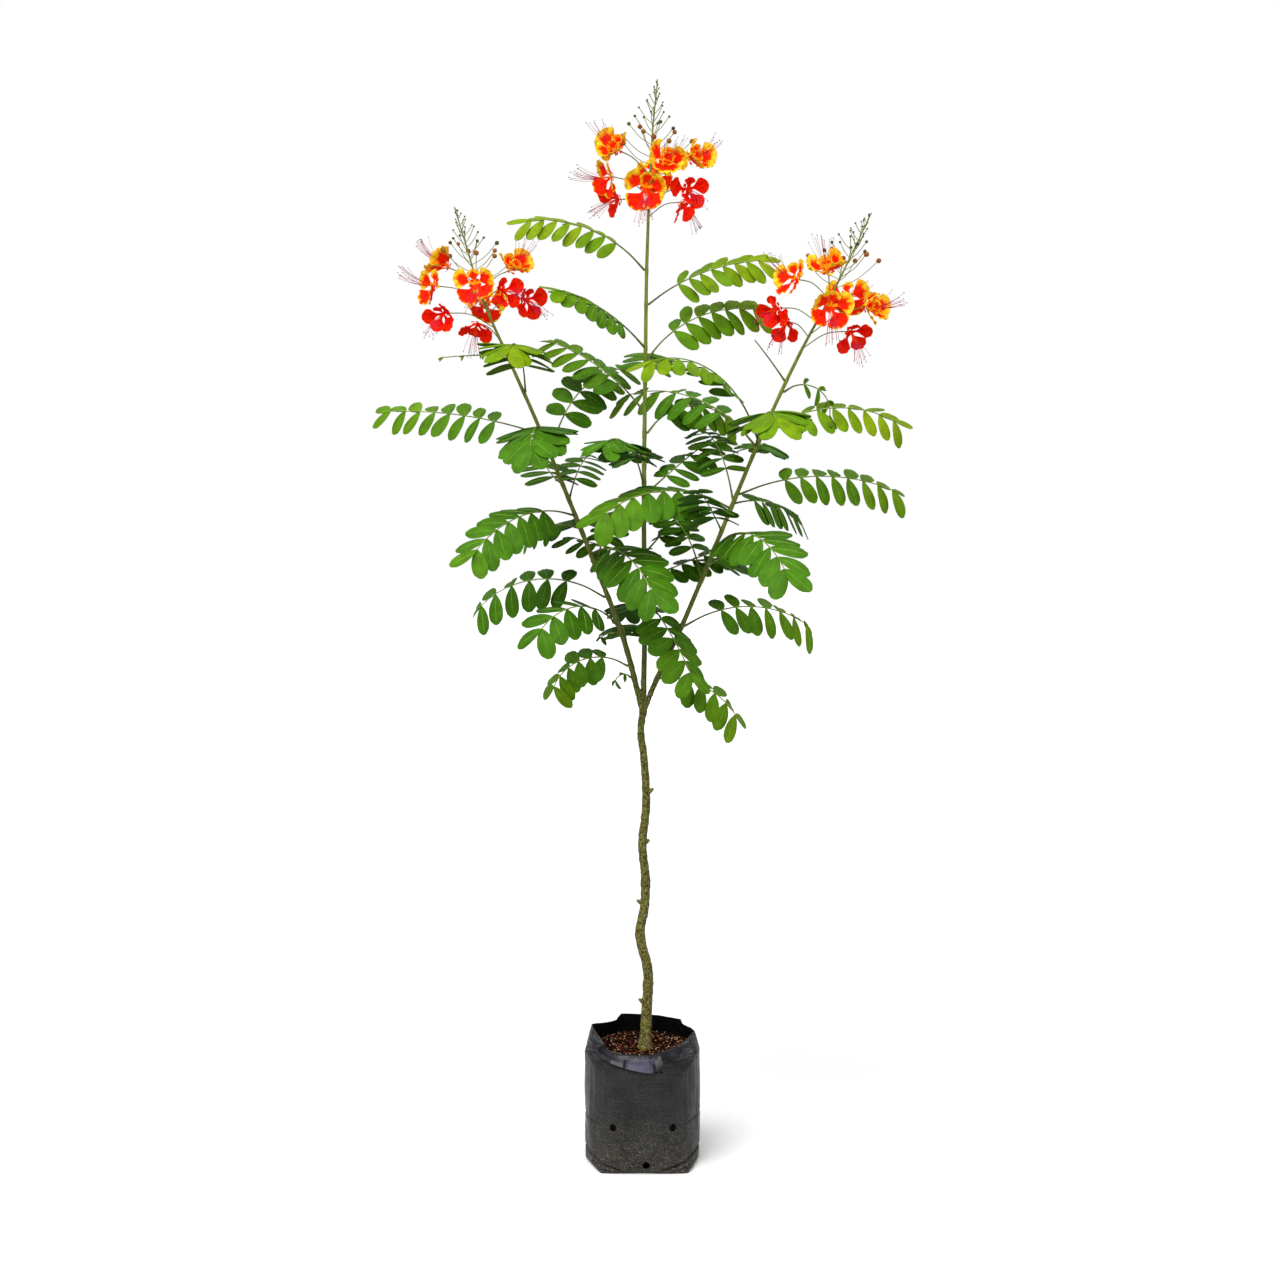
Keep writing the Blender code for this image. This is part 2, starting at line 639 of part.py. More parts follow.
def make_leaves(collection, room):
    """All stalks first, then the leaflets of each leaf where there is room for them."""
    stalks = {}
    for name, leaf in zip(leaf_names(), LEAVES):
        path = leaf_course(leaf)
        radii = [stalk_radius(step / STALK_STEPS) for step in range(STALK_STEPS + 1)]
        stalk = tube(name, path, radii, collection, False)
        stalks[name] = (stalk, path)
        room.add_object(stalk)
    skipped = 0
    for name, leaf in zip(leaf_names(), LEAVES):
        stalk, path = stalks[name]
        leaflets = []
        for pair in range(leaf.pairs):
            for side in (-1, 1):
                for extra_hang in HANG_TRIES:
                    matrix = leaflet_matrix(leaf, path, pair, side, extra_hang)
                    swollen = leaflet_bmesh(matrix, LEAFLET_CLEARANCE)
                    fits = room.clear(name, swollen)
                    swollen.free()
                    if fits:
                        break
                if not fits:
                    skipped += 1
                    continue
                solid = leaflet_bmesh(matrix)
                room.add(name, solid)
                leaflets.append(object_from_bmesh("leaflet", solid, collection))
        finish(fuse(stalk, leaflets) if leaflets else stalk, name, "leaf")
    print("leaflets left off for lack of room:", skipped)


def aim(place, direction):
    """A matrix that puts +Z along a direction at a place."""
    return Matrix.Translation(place) @ direction.to_track_quat("Z", "Y").to_matrix().to_4x4()


def flower_bmesh(place, facing):
    """Five petals round a shallow cup: a cone whose rim is notched between the petals."""
    work = bmesh.new()
    bmesh.ops.create_cone(work, cap_ends=True, cap_tris=True, segments=3 * PETALS,
                          radius1=1, radius2=0, depth=1)
    rim = sorted((vert for vert in work.verts if vert.co.xy.length > 0.5),
                 key=lambda vert: math.atan2(vert.co.y, vert.co.x))
    for number, vert in enumerate(rim):
        radius = FLOWER_RADIUS * (PETAL_NOTCH if number % 3 == 0 else 1)
        flat = vert.co.xy.normalized() * radius
        vert.co = (flat.x, flat.y, 0 if number % 3 == 0 else FLOWER_CUP * 0.4)
    for vert in work.verts:
        if vert.co.xy.length < FLOWER_RADIUS * 0.1:
            vert.co.z = -FLOWER_CUP if vert.co.z > 0 else -FLOWER_THROAT
    work.transform(aim(place, facing))
    return work


def bud_bmesh(place, direction, radius):
    """A bud as an octahedron."""
    work = bmesh.new()
    bmesh.ops.create_uvsphere(work, u_segments=4, v_segments=2, radius=radius)
    work.transform(aim(place, direction))
    return work


def spike_bmesh(start, direction, length, radius):
    """A slim three-sided cone that stands for the bundle of stamens."""
    work = bmesh.new()
    bmesh.ops.create_cone(work, cap_ends=True, segments=3, radius1=radius, radius2=0, depth=length)
    work.transform(aim(start + direction * length / 2, direction))
    return work


def flower_parts(stem, flower, collection):
    """The stalk, the petals and the stamens of one flower."""
    height = flower.height - PEDICEL_RISE[flower.age]
    centre, _ = stem_at(stem, height)
    out = heading_vector(flower.heading)
    axis, _ = stem_at(stem, flower.height)
    face = Vector((axis.x, axis.y, flower.height)) + out * flower.reach
    facing = heading_vector(flower.heading + flower.turn, flower.lift)
    back = face - facing * FLOWER_CUP * 0.7
    bend = centre.lerp(back, 0.5) + UP * flower.reach * PEDICEL_BOW
    yield tube("pedicel", [centre, bend, back], [PEDICEL_RADIUS] * 3, collection, False)
    yield object_from_bmesh("petals", flower_bmesh(face, facing), collection)
    start = face - facing * FLOWER_CUP * 0.5
    yield object_from_bmesh("stamens", spike_bmesh(start, facing, STAMEN_LENGTH, STAMEN_RADIUS), collection)


def bud_parts(stem, number, collection):
    """One bud on its stalk, by its number from the lowest."""
    share = number / (BUDS - 1)
    tip = STEMS[stem].way[-1][2]
    start = STEMS[stem].flowers_from
    height = start + (tip - start) * blend((BUDS_FROM, BUDS_TO), share)
    centre, _ = stem_at(stem, height)
    direction = heading_vector(number * BUD_TURN, blend(BUD_LIFT, share))
    end = centre + direction * blend(BUD_STALK, share ** BUD_STALK_EASE)
    yield tube("bud_stalk", [centre, end], [PEDICEL_RADIUS, PEDICEL_RADIUS * 0.8], collection, False)
    yield object_from_bmesh("bud", bud_bmesh(end, direction, blend(BUD_RADIUS, share)), collection)


def make_flower_head(stem, collection):
    """The tip of a stem with its flowers and its buds, fused into one node."""
    path = part_between(stem_path(stem), STEMS[stem].flowers_from + GAP * 1.5, STEMS[stem].way[-1][2])
    radii = [stem_radius(stem, point.z) for point in path]
    axis = tube("axis", path[::2] + [path[-1]], radii[::2] + [radii[-1]], collection, False)
    parts = []
    for flower in FLOWERS[stem]:
        parts += flower_parts(stem, flower, collection)
    for number in range(BUDS):
        parts += bud_parts(stem, number, collection)
    return finish(fuse(axis, parts, "MANIFOLD"), "flower_head_" + stem, "bloom")


def main():
    clear_scene()
    plant = bpy.data.collections.new("peacock_flower_seedling")
    helpers = bpy.data.collections.new("helpers")
    for collection in (plant, helpers):
        bpy.context.scene.collection.children.link(collection)
    make_bag(plant)
    make_mix(plant)
    room = Room()
    room.add_object(make_trunk(plant))
    for stem in STEMS:
        room.add_object(make_bough(stem, plant))
        room.add_object(make_flower_head(stem, plant))
    make_leaves(plant, room)


main()
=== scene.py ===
# %% [markdown]
# # Peacock flower seedling in a grow bag
# The plant is about 1.4 m tall: a crooked young trunk that forks into three
# stems, feathered leaves all round them, and a head of red and yellow flowers
# on each. It grows in a black film bag of potting mix. The CAD frame already
# has every limb and leaf in its place, so this lesson dresses that frame.

# %% Load the CAD frame
import math
from collections import namedtuple
from contextlib import contextmanager
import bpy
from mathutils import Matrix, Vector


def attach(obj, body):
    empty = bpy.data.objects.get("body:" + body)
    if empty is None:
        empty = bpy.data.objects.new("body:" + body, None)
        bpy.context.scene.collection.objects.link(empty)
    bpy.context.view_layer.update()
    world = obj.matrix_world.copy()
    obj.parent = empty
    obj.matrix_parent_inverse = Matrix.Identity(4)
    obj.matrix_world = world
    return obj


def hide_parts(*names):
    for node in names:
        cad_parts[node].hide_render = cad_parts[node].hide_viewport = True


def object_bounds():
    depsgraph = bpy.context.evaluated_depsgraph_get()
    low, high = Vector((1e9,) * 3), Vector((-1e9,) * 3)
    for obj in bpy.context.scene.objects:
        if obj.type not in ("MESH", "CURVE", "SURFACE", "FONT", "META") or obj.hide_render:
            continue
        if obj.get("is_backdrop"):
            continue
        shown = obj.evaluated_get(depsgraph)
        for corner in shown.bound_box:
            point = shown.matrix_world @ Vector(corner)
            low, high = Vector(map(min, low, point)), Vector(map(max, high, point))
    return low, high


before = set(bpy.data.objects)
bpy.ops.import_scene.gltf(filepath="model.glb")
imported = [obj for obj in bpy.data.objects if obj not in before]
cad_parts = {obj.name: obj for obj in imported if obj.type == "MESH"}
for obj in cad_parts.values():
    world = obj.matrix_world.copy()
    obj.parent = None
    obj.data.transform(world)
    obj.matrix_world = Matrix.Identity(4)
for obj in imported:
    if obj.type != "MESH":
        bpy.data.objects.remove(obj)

from copy import copy
from random import Random

import bmesh
import bpy
import numpy as np
from mathutils import Matrix, Vector, noise
from mathutils.geometry import interpolate_bezier

CAD_BOX = [list(corner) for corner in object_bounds()]
UP = Vector((0, 0, 1))
print(len(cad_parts), "CAD nodes, box", [[round(value, 3) for value in corner] for corner in CAD_BOX])

# %% [markdown]
# ## Camera and studio
# The photograph was taken from a little above the middle of the plant, with a
# longish lens. The floor is pale and the light is broad and soft, as on a
# studio table: a key lamp, a weaker fill lamp and a white surround. Both
# lamps are suns with wide discs, so pot and tip get the same light and the
# shadows are soft. The Standard view keeps the fresh greens and the reds as
# strong as they are on the plant.

# %% Camera
CAMERA_PLACE = (-0.003, -3.0, 1.0)
CAMERA_DIP = 6.07
LENS = 66.35
SENSOR = 36

bpy.ops.object.camera_add(location=CAMERA_PLACE, rotation=(math.radians(90 - CAMERA_DIP), 0, 0))
camera = bpy.context.object
camera.data.sensor_width = SENSOR
camera.data.lens = LENS
bpy.context.scene.camera = camera
print("camera at", CAMERA_PLACE, "lens", LENS)

# %% Studio
LAMP_AIM = Vector((0, 0, 0.8))
# As light, the surround is dim from below this first height of view and brighter above the second.
SURROUND_HEIGHTS = (-0.3, 0.5)
SURROUND_STRENGTHS = (0.26, 0.62)


def add_lamp(name, place, spread, power):
    """A far soft lamp that shines from a place towards the plant."""
    bpy.ops.object.light_add(type="SUN", location=place)
    lamp = bpy.context.object
    lamp.name = name
    lamp.data.angle = math.radians(spread)
    lamp.data.energy = power
    lamp.rotation_euler = (LAMP_AIM - Vector(place)).to_track_quat("-Z", "Y").to_euler()


def add_surround():
    """A white surround: full white where the camera sees it, softer as light, and softest from below."""
    world = bpy.data.worlds.new("studio_surround")
    world.use_nodes = True
    nodes, links = world.node_tree.nodes, world.node_tree.links
    direction = nodes.new("ShaderNodeTexCoord")
    split = nodes.new("ShaderNodeSeparateXYZ")
    links.new(direction.outputs["Generated"], split.inputs[0])
    glow = nodes.new("ShaderNodeMapRange")
    for socket, value in enumerate((*SURROUND_HEIGHTS, *SURROUND_STRENGTHS), 1):
        glow.inputs[socket].default_value = value
    links.new(split.outputs[2], glow.inputs[0])
    path = nodes.new("ShaderNodeLightPath")
    brighter = nodes.new("ShaderNodeMath")
    brighter.operation = "MAXIMUM"
    links.new(glow.outputs[0], brighter.inputs[0])
    links.new(path.outputs["Is Camera Ray"], brighter.inputs[1])
    background = nodes["Background"]
    background.inputs["Color"].default_value = (1, 1, 1, 1)
    links.new(brighter.outputs[0], background.inputs["Strength"])
    bpy.context.scene.world = world


add_lamp("key_lamp", (-1.5, -2.4, 4.4), 40, 2.4)
add_lamp("fill_lamp", (1.2, -3.4, 1.8), 60, 0.95)
add_surround()
bpy.context.scene.view_settings.view_transform = "Standard"
print("two soft lamps and a white surround")

# %% [markdown]
# ## Modelling helpers
# Each piece starts as a primitive. Edit mode shapes it, with the vertices,
# edges or faces picked in code by where they are, and modifiers finish it.
# These helpers do what a modeller's hand does: select one object, name it, go
# into edit mode, pick a few points and apply a modifier.


# %% Modelling helpers
def alone(obj):
    """Makes one object the only one that is selected, and the active one."""
    bpy.ops.object.select_all(action="DESELECT")
    obj.hide_set(False)
    obj.select_set(True)
    bpy.context.view_layer.objects.active = obj
    return obj


def started(name):
    """Names the primitive that was just added."""
    obj = bpy.context.object
    obj.name = obj.data.name = name
    return alone(obj)


@contextmanager
def editing(obj, kind="VERT"):
    """Edit mode on one object, with nothing selected to start with."""
    alone(obj)
    bpy.ops.object.mode_set(mode="EDIT")
    bpy.ops.mesh.select_mode(type=kind)
    bpy.ops.mesh.select_all(action="DESELECT")
    yield obj
    bpy.ops.object.mode_set(mode="OBJECT")


def pick(obj, wanted, kind="VERT"):
    """In edit mode, selects only what passes the test: a vertex by its place, an edge or face as it is."""
    bpy.ops.mesh.select_mode(type=kind)
    bpy.ops.mesh.select_all(action="DESELECT")
    work = bmesh.from_edit_mesh(obj.data)
    if kind == "VERT":
        for vert in work.verts:
            vert.select_set(wanted(vert.co))
    else:
        for item in work.edges if kind == "EDGE" else work.faces:
            item.select_set(wanted(item))
    work.select_flush_mode()
    bmesh.update_edit_mesh(obj.data)


def modify(obj, kind, **settings):
    """Adds one modifier and applies it."""
    alone(obj)
    made = obj.modifiers.new(kind.lower(), kind)
    for name, value in settings.items():
        setattr(made, name, value)
    bpy.ops.object.modifier_apply(modifier=made.name)
    return obj


def reshape(obj, move):
    """Moves every vertex to where a function of its place puts it."""
    for vert in obj.data.vertices:
        vert.co = move(vert.co)
    obj.data.update()
    return obj


def smooth(obj, degrees=40):
    """Smooth shading that keeps the edges sharper than an angle."""
    alone(obj)
    bpy.ops.object.shade_smooth_by_angle(angle=math.radians(degrees))
    return obj


def triangles(obj):
    """How many triangles a mesh comes to."""
    return sum(len(face.vertices) - 2 for face in obj.data.polygons)


def blend(pair, share):
    """The value a share of the way from the first of a pair to the second."""
    return pair[0] + (pair[1] - pair[0]) * share


def ease(low, high, value):
    """0 below low, 1 above high, and a smooth step between."""
    share = min(1.0, max(0.0, (value - low) / (high - low)))
    return share * share * (3 - 2 * share)


# %% [markdown]
# ## Finishes
# Colours are given as a screen shows them and turned into linear light once.
# `Value` lets sums on sockets be written as Python, and `Finish` holds one
# material: any node comes from its `node` method. What is the same all over a
# piece is set on the shader itself. Only colour, roughness and relief vary.


# %% Value and Finish
def shown(*levels):
    """A colour in 0 to 255 steps as linear light, with alpha."""
    linear = [((level / 255 + 0.055) / 1.055) ** 2.4 if level > 10 else level / 3295 for level in levels]
    return (*linear, 1)


def lit(colour, share, lift=0):
    """A colour made darker or lighter."""
    return [min(255, level * share + lift) for level in colour]


class Value:
    """A number socket that Python's operators work on: each one adds its Math node."""

    def __init__(self, finish, socket):
        self.finish, self.socket = finish, socket

    def maths(self, operation, *terms):
        """Adds one Math node on these terms."""
        return self.finish.node("ShaderNodeMath", {"operation": operation}, dict(enumerate(terms)))

    def __add__(self, other):
        return self.maths("ADD", self, other)

    def __sub__(self, other):
        return self.maths("SUBTRACT", self, other)

    def __rsub__(self, other):
        return self.maths("SUBTRACT", other, self)

    def __mul__(self, other):
        return self.maths("MULTIPLY", self, other)

    def above(self, low, high):
        """0 below low, 1 above high, and even between."""
        return self.finish.node("ShaderNodeMapRange", {}, {0: self, 1: low, 2: high})


class Finish:
    """One material, with its Principled shader's uniform sockets set directly."""

    def __init__(self, name, roughness=0.5, **uniform):
        self.material = bpy.data.materials.new(name)
        self.material.use_nodes = True
        self.tree = self.material.node_tree
        self.shader = self.tree.nodes["Principled BSDF"]
        self.shader.inputs["Roughness"].default_value = roughness
        for socket, value in uniform.items():
            self.shader.inputs[socket.replace("_", " ").title().replace("Ior", "IOR")].default_value = value
        self.place = self.node("ShaderNodeTexCoord", output="Object")

    def node(self, kind, settings=None, inputs=None, output=0):
        """Adds a node: settings first, then the values or links of its sockets."""
        made = self.tree.nodes.new(kind)
        for name, value in (settings or {}).items():
            setattr(made, name, value)
        for name, value in (inputs or {}).items():
            self.join(value, made.inputs[name])
        return Value(self, made.outputs[output])

    def join(self, value, socket):
        """Links a value to a socket, or sets a plain number or colour on it."""
        if isinstance(value, Value):
            self.tree.links.new(value.socket, socket)
        else:
            socket.default_value = value

    def noise(self, scale, detail=3, roughness=0.5, place=None):
        """Soft noise whose grains are about one metre over the scale."""
        inputs = {"Vector": place or self.place, "Scale": scale, "Detail": detail, "Roughness": roughness}
        return self.node("ShaderNodeTexNoise", {}, inputs)

    def height(self):
        """The height above the floor."""
        return self.node("ShaderNodeSeparateXYZ", {}, {0: self.place}, 2)

    def stretched(self, x, y, z):
        """The object's place, scaled along each axis."""
        return self.node("ShaderNodeMapping", {}, {"Vector": self.place, "Scale": (x, y, z)})

    def mix(self, share, first, second):
        """One colour going over to another."""
        return self.node("ShaderNodeMix", {"data_type": "RGBA"}, {0: share, 6: first, 7: second}, 2)

    def paint(self, colour=None, roughness=None):
        """Gives the shader a colour, a roughness or both."""
        if colour is not None:
            self.join(colour, self.shader.inputs["Base Color"])
        if roughness is not None:
            self.join(roughness, self.shader.inputs["Roughness"])
        return self

    def toned(self, dark, light, scale, detail, low, high):
        """Paints soft patches between two colours. Noise below low is dark, and above high it is light."""
        return self.paint(self.mix(self.noise(scale, detail).above(low, high), shown(*dark), shown(*light)))

    def emboss(self, height, depth):
        """Bump relief of a depth in metres."""
        bump = self.node("ShaderNodeBump", {}, {"Height": height, "Distance": depth})
        self.join(bump, self.shader.inputs["Normal"])
        return self


print("finishes are ready")

# %% [markdown]
# ## Floor
# A plain pale floor that the bag stands on. It is part of the studio. It
# takes the shadow and throws no light back, so the bag's foot stays dark.

# %% Floor
bpy.ops.object.select_all(action="DESELECT")
bpy.ops.mesh.primitive_circle_add(vertices=64, radius=9, fill_type="NGON", location=(0, 0, -0.0004))
floor = started("studio_floor")
floor_finish = Finish("pale_floor", 0.9, specular_ior_level=0.0)
floor_finish.toned((252, 252, 252), (253, 253, 253), 3.0, 3, 0.3, 0.7)
floor.data.materials.append(floor_finish.material)
floor.visible_diffuse = False
floor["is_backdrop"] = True
print("floor", tuple(round(side, 1) for side in floor.dimensions))


# %% [markdown]
# ## Dressing a piece
# Every finished piece rides on the plant's one body and stands for the CAD
# nodes that it covers, which are hidden.


# %% Dress
def dress(piece, slot, nodes, *finishes):
    """Gives a piece its finishes, sets it on the plant's body and hides the CAD nodes that it covers."""
    for finish in finishes:
        piece.data.materials.append(finish.material)
    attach(piece, "root")
    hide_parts(*nodes)
    print(piece.name, triangles(piece), "triangles")
    return piece


# %% [markdown]
# ## The grow bag
# A thin black polythene bag. Its wall stands straight round the mix, its foot
# is tucked in, and its top edge is soft: high behind and at the sides, turned
# out and hanging over in front. The skin starts as a cylinder, is cut into
# many rings, and is then pressed into its folds by a function of each point's
# angle and height. Solidify gives the film its thickness after that. A cloth
# simulation would crumple it too, but not where this bag is crumpled.

# %% Bag sizes
BAG_RADIUS = 0.0748
BAG_FOOT_RADIUS = 0.0705
BAG_FOOT_EDGE = (0.0743, 0.006)
FILM = 0.0007
SHOULDER_FRONT, SHOULDER_BACK = 0.128, 0.146
# The corners of the rim, round the bag: where the film is creased as it changes direction.
RIM_CORNERS = (
    (-0.0668, 0.000, 0.1785), (-0.0511, -0.035, 0.1645), (-0.0453, -0.048, 0.1555), (-0.0285, -0.060, 0.1539),
    (-0.0055, -0.066, 0.1542), (0.0085, -0.066, 0.1542), (0.0251, -0.060, 0.1565), (0.0412, -0.047, 0.1590),
    (0.0530, -0.034, 0.1640), (0.0680, 0.000, 0.1690), (0.0639, 0.024, 0.1665), (0.0538, 0.044, 0.1668),
    (0.0507, 0.050, 0.1715), (0.0222, 0.064, 0.1731), (-0.003, 0.068, 0.1736), (-0.0282, 0.060, 0.1765),
    (-0.0345, 0.052, 0.1700), (-0.0460, 0.040, 0.1700),
)
# The corners of the foot on the floor: a flat front and back, cut corners and narrow sides.
FOOT_CORNERS = (
    (-0.0742, 0.010, 0), (-0.0742, -0.010, 0), (-0.0560, -0.0665, 0), (0.0610, -0.0665, 0),
    (0.0735, -0.010, 0), (0.0735, 0.010, 0), (0.0580, 0.0660, 0), (-0.0560, 0.0660, 0),
)
FOOT_FACETS = 0.024
# Fold lines that are pressed into front and back alike: from and to as X and height, then depth and width.
CREASES = (
    ((-0.0745, 0.0635), (-0.042, 0.0605), 0.0015, 0.0013),
    ((0.0745, 0.0660), (0.046, 0.0600), 0.0012, 0.0013),
    ((-0.074, 0.0190), (-0.031, 0.0045), 0.0055, 0.0015),
    ((0.074, 0.0200), (0.028, 0.0045), 0.0055, 0.0015),
    ((-0.062, 0.0090), (-0.040, 0.0025), 0.0030, 0.0010),
    ((0.062, 0.0090), (0.036, 0.0025), 0.0030, 0.0010),
    ((-0.072, 0.152), (-0.056, 0.160), 0.0018, 0.0014),
    ((-0.073, 0.147), (-0.052, 0.153), 0.0018, 0.0013),
    ((0.061, 0.163), (0.071, 0.142), 0.0018, 0.0015),
    ((0.052, 0.158), (0.061, 0.143), 0.0016, 0.0013),
)


# %% Bag outlines
def around(corners, angle):
    """The radius and height at an angle of a closed line that runs straight from corner to corner."""
    turned = [(math.atan2(y, x) % math.tau, math.hypot(x, y), z) for x, y, z in corners]
    turned.sort()
    turned = [(turned[-1][0] - math.tau, *turned[-1][1:]), *turned, (turned[0][0] + math.tau, *turned[0][1:])]
    angle %= math.tau
    for (low, near, low_z), (high, far, high_z) in zip(turned, turned[1:]):
        if low <= angle <= high:
            share = (angle - low) / (high - low)
            first = Vector((near * math.cos(low), near * math.sin(low)))
            last = Vector((far * math.cos(high), far * math.sin(high)))
            return first.lerp(last, share).length, blend((low_z, high_z), share)
    return near, low_z


def faceted(radius, angle, height):
    """Draws a round wall in to the straight sides of the foot, most at the floor."""
    foot_radius, _ = around(FOOT_CORNERS, angle)
    return blend((radius * foot_radius / BAG_FOOT_EDGE[0], radius), min(1, height / FOOT_FACETS))


def crease(x, z, start, end, depth, width):
    """How far a straight fold line pushes the film in at this X and height."""
    line = Vector(end) - Vector(start)
    way = Vector((x, z)) - Vector(start)
    share = min(1.0, max(0.0, way.dot(line) / line.length_squared))
    off = (way - line * share).length
    return -depth * math.exp(-(off / width) ** 2)


# %% Bag skin
BAG_ROWS = 124
BAG_TURNS = 250
# The shares of the cylinder's height below which its rings become the foot and the wall. The rest is the rim.
FOOT_SHARE, WALL_SHARE = 0.04, 0.80


def bag_wave(angle, height):
    """Soft dents, upright wrinkles and puckers of the filled film."""
    turned = Vector((math.cos(angle), math.sin(angle), 0))
    dents = noise.noise(turned * 3.2 + UP * height * 26)
    wrinkles = noise.noise(turned * 13 + UP * (height * 9 + 4))
    puckers = noise.noise(turned * 24 + UP * height * 110)
    return 0.0012 * dents + 0.0007 * max(-0.2, wrinkles) + 0.0003 * puckers


def bag_ring(level, angle):
    """The radius and height that a share of the cylinder's height becomes at an angle."""
    if level < FOOT_SHARE:
        share = level / FOOT_SHARE
        radius = blend((BAG_FOOT_RADIUS, BAG_FOOT_EDGE[0]), math.sin(share * math.pi / 2))
        return radius, BAG_FOOT_EDGE[1] * share
    shoulder = blend((SHOULDER_BACK, SHOULDER_FRONT), ease(-0.2, -0.85, math.sin(angle)))
    if level < WALL_SHARE:
        share = (level - FOOT_SHARE) / (WALL_SHARE - FOOT_SHARE)
        radius = blend((BAG_FOOT_EDGE[0], BAG_RADIUS), ease(0, 0.3, share))
        return radius, blend((BAG_FOOT_EDGE[1], shoulder), share)
    share = (level - WALL_SHARE) / (1 - WALL_SHARE)
    rim_radius, rim_height = around(RIM_CORNERS, angle)
    return blend((BAG_RADIUS, rim_radius), share), blend((shoulder, rim_height), share)


def bag_skin(place):
    """Presses the cylinder's point into the bag: its height picks a ring, its angle a place on it."""
    if place.xy.length < 1e-4:
        return Vector((0, 0, 0.0002))
    angle = math.atan2(place.y, place.x)
    radius, height = bag_ring(place.z, angle)
    x = radius * math.cos(angle)
    radius = faceted(radius, angle, height)
    if place.z > FOOT_SHARE:
        radius += bag_wave(angle, height) * ease(0.0, 0.03, height - 0.004)
    for line in CREASES:
        radius += crease(x, height, *line)
    return Vector((radius * math.cos(angle), radius * math.sin(angle), height))


def model_bag():
    """An open cylinder one unit high, cut into rings and pressed into the bag."""
    bpy.ops.object.select_all(action="DESELECT")
    bpy.ops.mesh.primitive_cylinder_add(vertices=BAG_TURNS, radius=1, depth=1, end_fill_type="TRIFAN",
                                        location=(0, 0, 0))
    bag = started("film_bag")
    for side in ("outside", "inside"):
        bag.data.materials.append(bpy.data.materials.new(side))
    with editing(bag):
        bpy.ops.mesh.select_all(action="SELECT")
        bpy.ops.transform.translate(value=(0, 0, 0.5))
        pick(bag, lambda face: face.normal.z > 0.9, "FACE")
        bpy.ops.mesh.delete(type="FACE")
        pick(bag, lambda edge: abs(edge.verts[0].co.z - edge.verts[1].co.z) > 0.5, "EDGE")
        bpy.ops.mesh.subdivide(number_cuts=BAG_ROWS)
    reshape(bag, bag_skin)
    return modify(bag, "SOLIDIFY", thickness=FILM, offset=-1, material_offset=1, material_offset_rim=0)


bag = model_bag()
print("bag reaches", round(max(vert.co.z for vert in bag.data.vertices), 4))

# %% [markdown]
# Drain holes are punched through the film: two in front with a low one
# between them, the same at the back, and a high and a low one on each side. A
# joined set of short round pins is the cutter of one Boolean.

# %% Drain holes
# The heading and height of each hole.
HOLES = (
    (-120.5, 0.0600), (-58.5, 0.0600), (-86, 0.0125), (180, 0.066), (0, 0.066), (180, 0.014), (0, 0.014),
    (60, 0.060), (120, 0.060), (90, 0.0125),
)
HOLE_RADIUS = 0.0050


def punch_holes(bag):
    """Cuts the pins' outlines through the film and shades the bag."""
    bpy.ops.object.select_all(action="DESELECT")
    pins = []
    for heading, height in HOLES:
        turn = math.radians(heading)
        place = (BAG_RADIUS * math.cos(turn), BAG_RADIUS * math.sin(turn), height)
        bpy.ops.mesh.primitive_cylinder_add(vertices=14, radius=HOLE_RADIUS, depth=0.02, location=place,
                                            rotation=(math.pi / 2, 0, turn - math.pi / 2))
        pins.append(bpy.context.object)
    for pin in pins:
        pin.select_set(True)
    bpy.ops.object.join()
    cutter = started("hole_pins")
    bpy.ops.object.transform_apply(location=True, rotation=True, scale=True)
    modify(bag, "BOOLEAN", operation="DIFFERENCE", object=cutter, solver="EXACT")
    bpy.data.objects.remove(cutter, do_unlink=True)
    return smooth(bag, 16)


punch_holes(bag)
print(len(HOLES), "drain holes")

# %% [markdown]
# In front the film is turned out over itself and hangs in stiff little
# facets. It is a narrow grid laid along the rim. A table says how low and how
# far out each column hangs, and the folds are left sharp, because that is how
# thin film buckles.

# %% Turned-out cuff
CUFF_TURNS, CUFF_ROWS = 15, 6
CUFF_FROM, CUFF_TO = math.radians(-142), math.radians(-44)
CUFF_CLEAR = 0.0012
# For each column: how far the hem hangs below the rim, and how far it stands off the wall.
CUFF_HEM = (
    (0.0030, 0.0002), (0.0055, 0.0010), (0.0075, 0.0004), (0.0095, 0.0012),
    (0.0112, 0.0004), (0.0127, 0.0006), (0.0140, 0.0044), (0.0155, 0.0044),
    (0.0172, 0.0044), (0.0185, 0.0044), (0.0187, 0.0006), (0.0105, 0.0026),
    (0.0075, 0.0006), (0.0085, 0.0018), (0.0090, 0.0006), (0.0040, 0.0002),
)
# The shares of the grid's depth up to which it lies inside the bag and on its edge. The rest hangs outside.
CUFF_INSIDE, CUFF_EDGE = 0.34, 0.5


def unit_grid(name, columns, rows, shift=(0.5, 0, 0)):
    """A flat grid one unit long and wide whose X starts at 0, to be narrowed, bent or laid over a form."""
    bpy.ops.object.select_all(action="DESELECT")
    bpy.ops.mesh.primitive_grid_add(x_subdivisions=columns, y_subdivisions=rows, size=1, location=(0, 0, 0))
    grid = started(name)
    with editing(grid):
        bpy.ops.mesh.select_all(action="SELECT")
        bpy.ops.transform.translate(value=shift)
    return grid


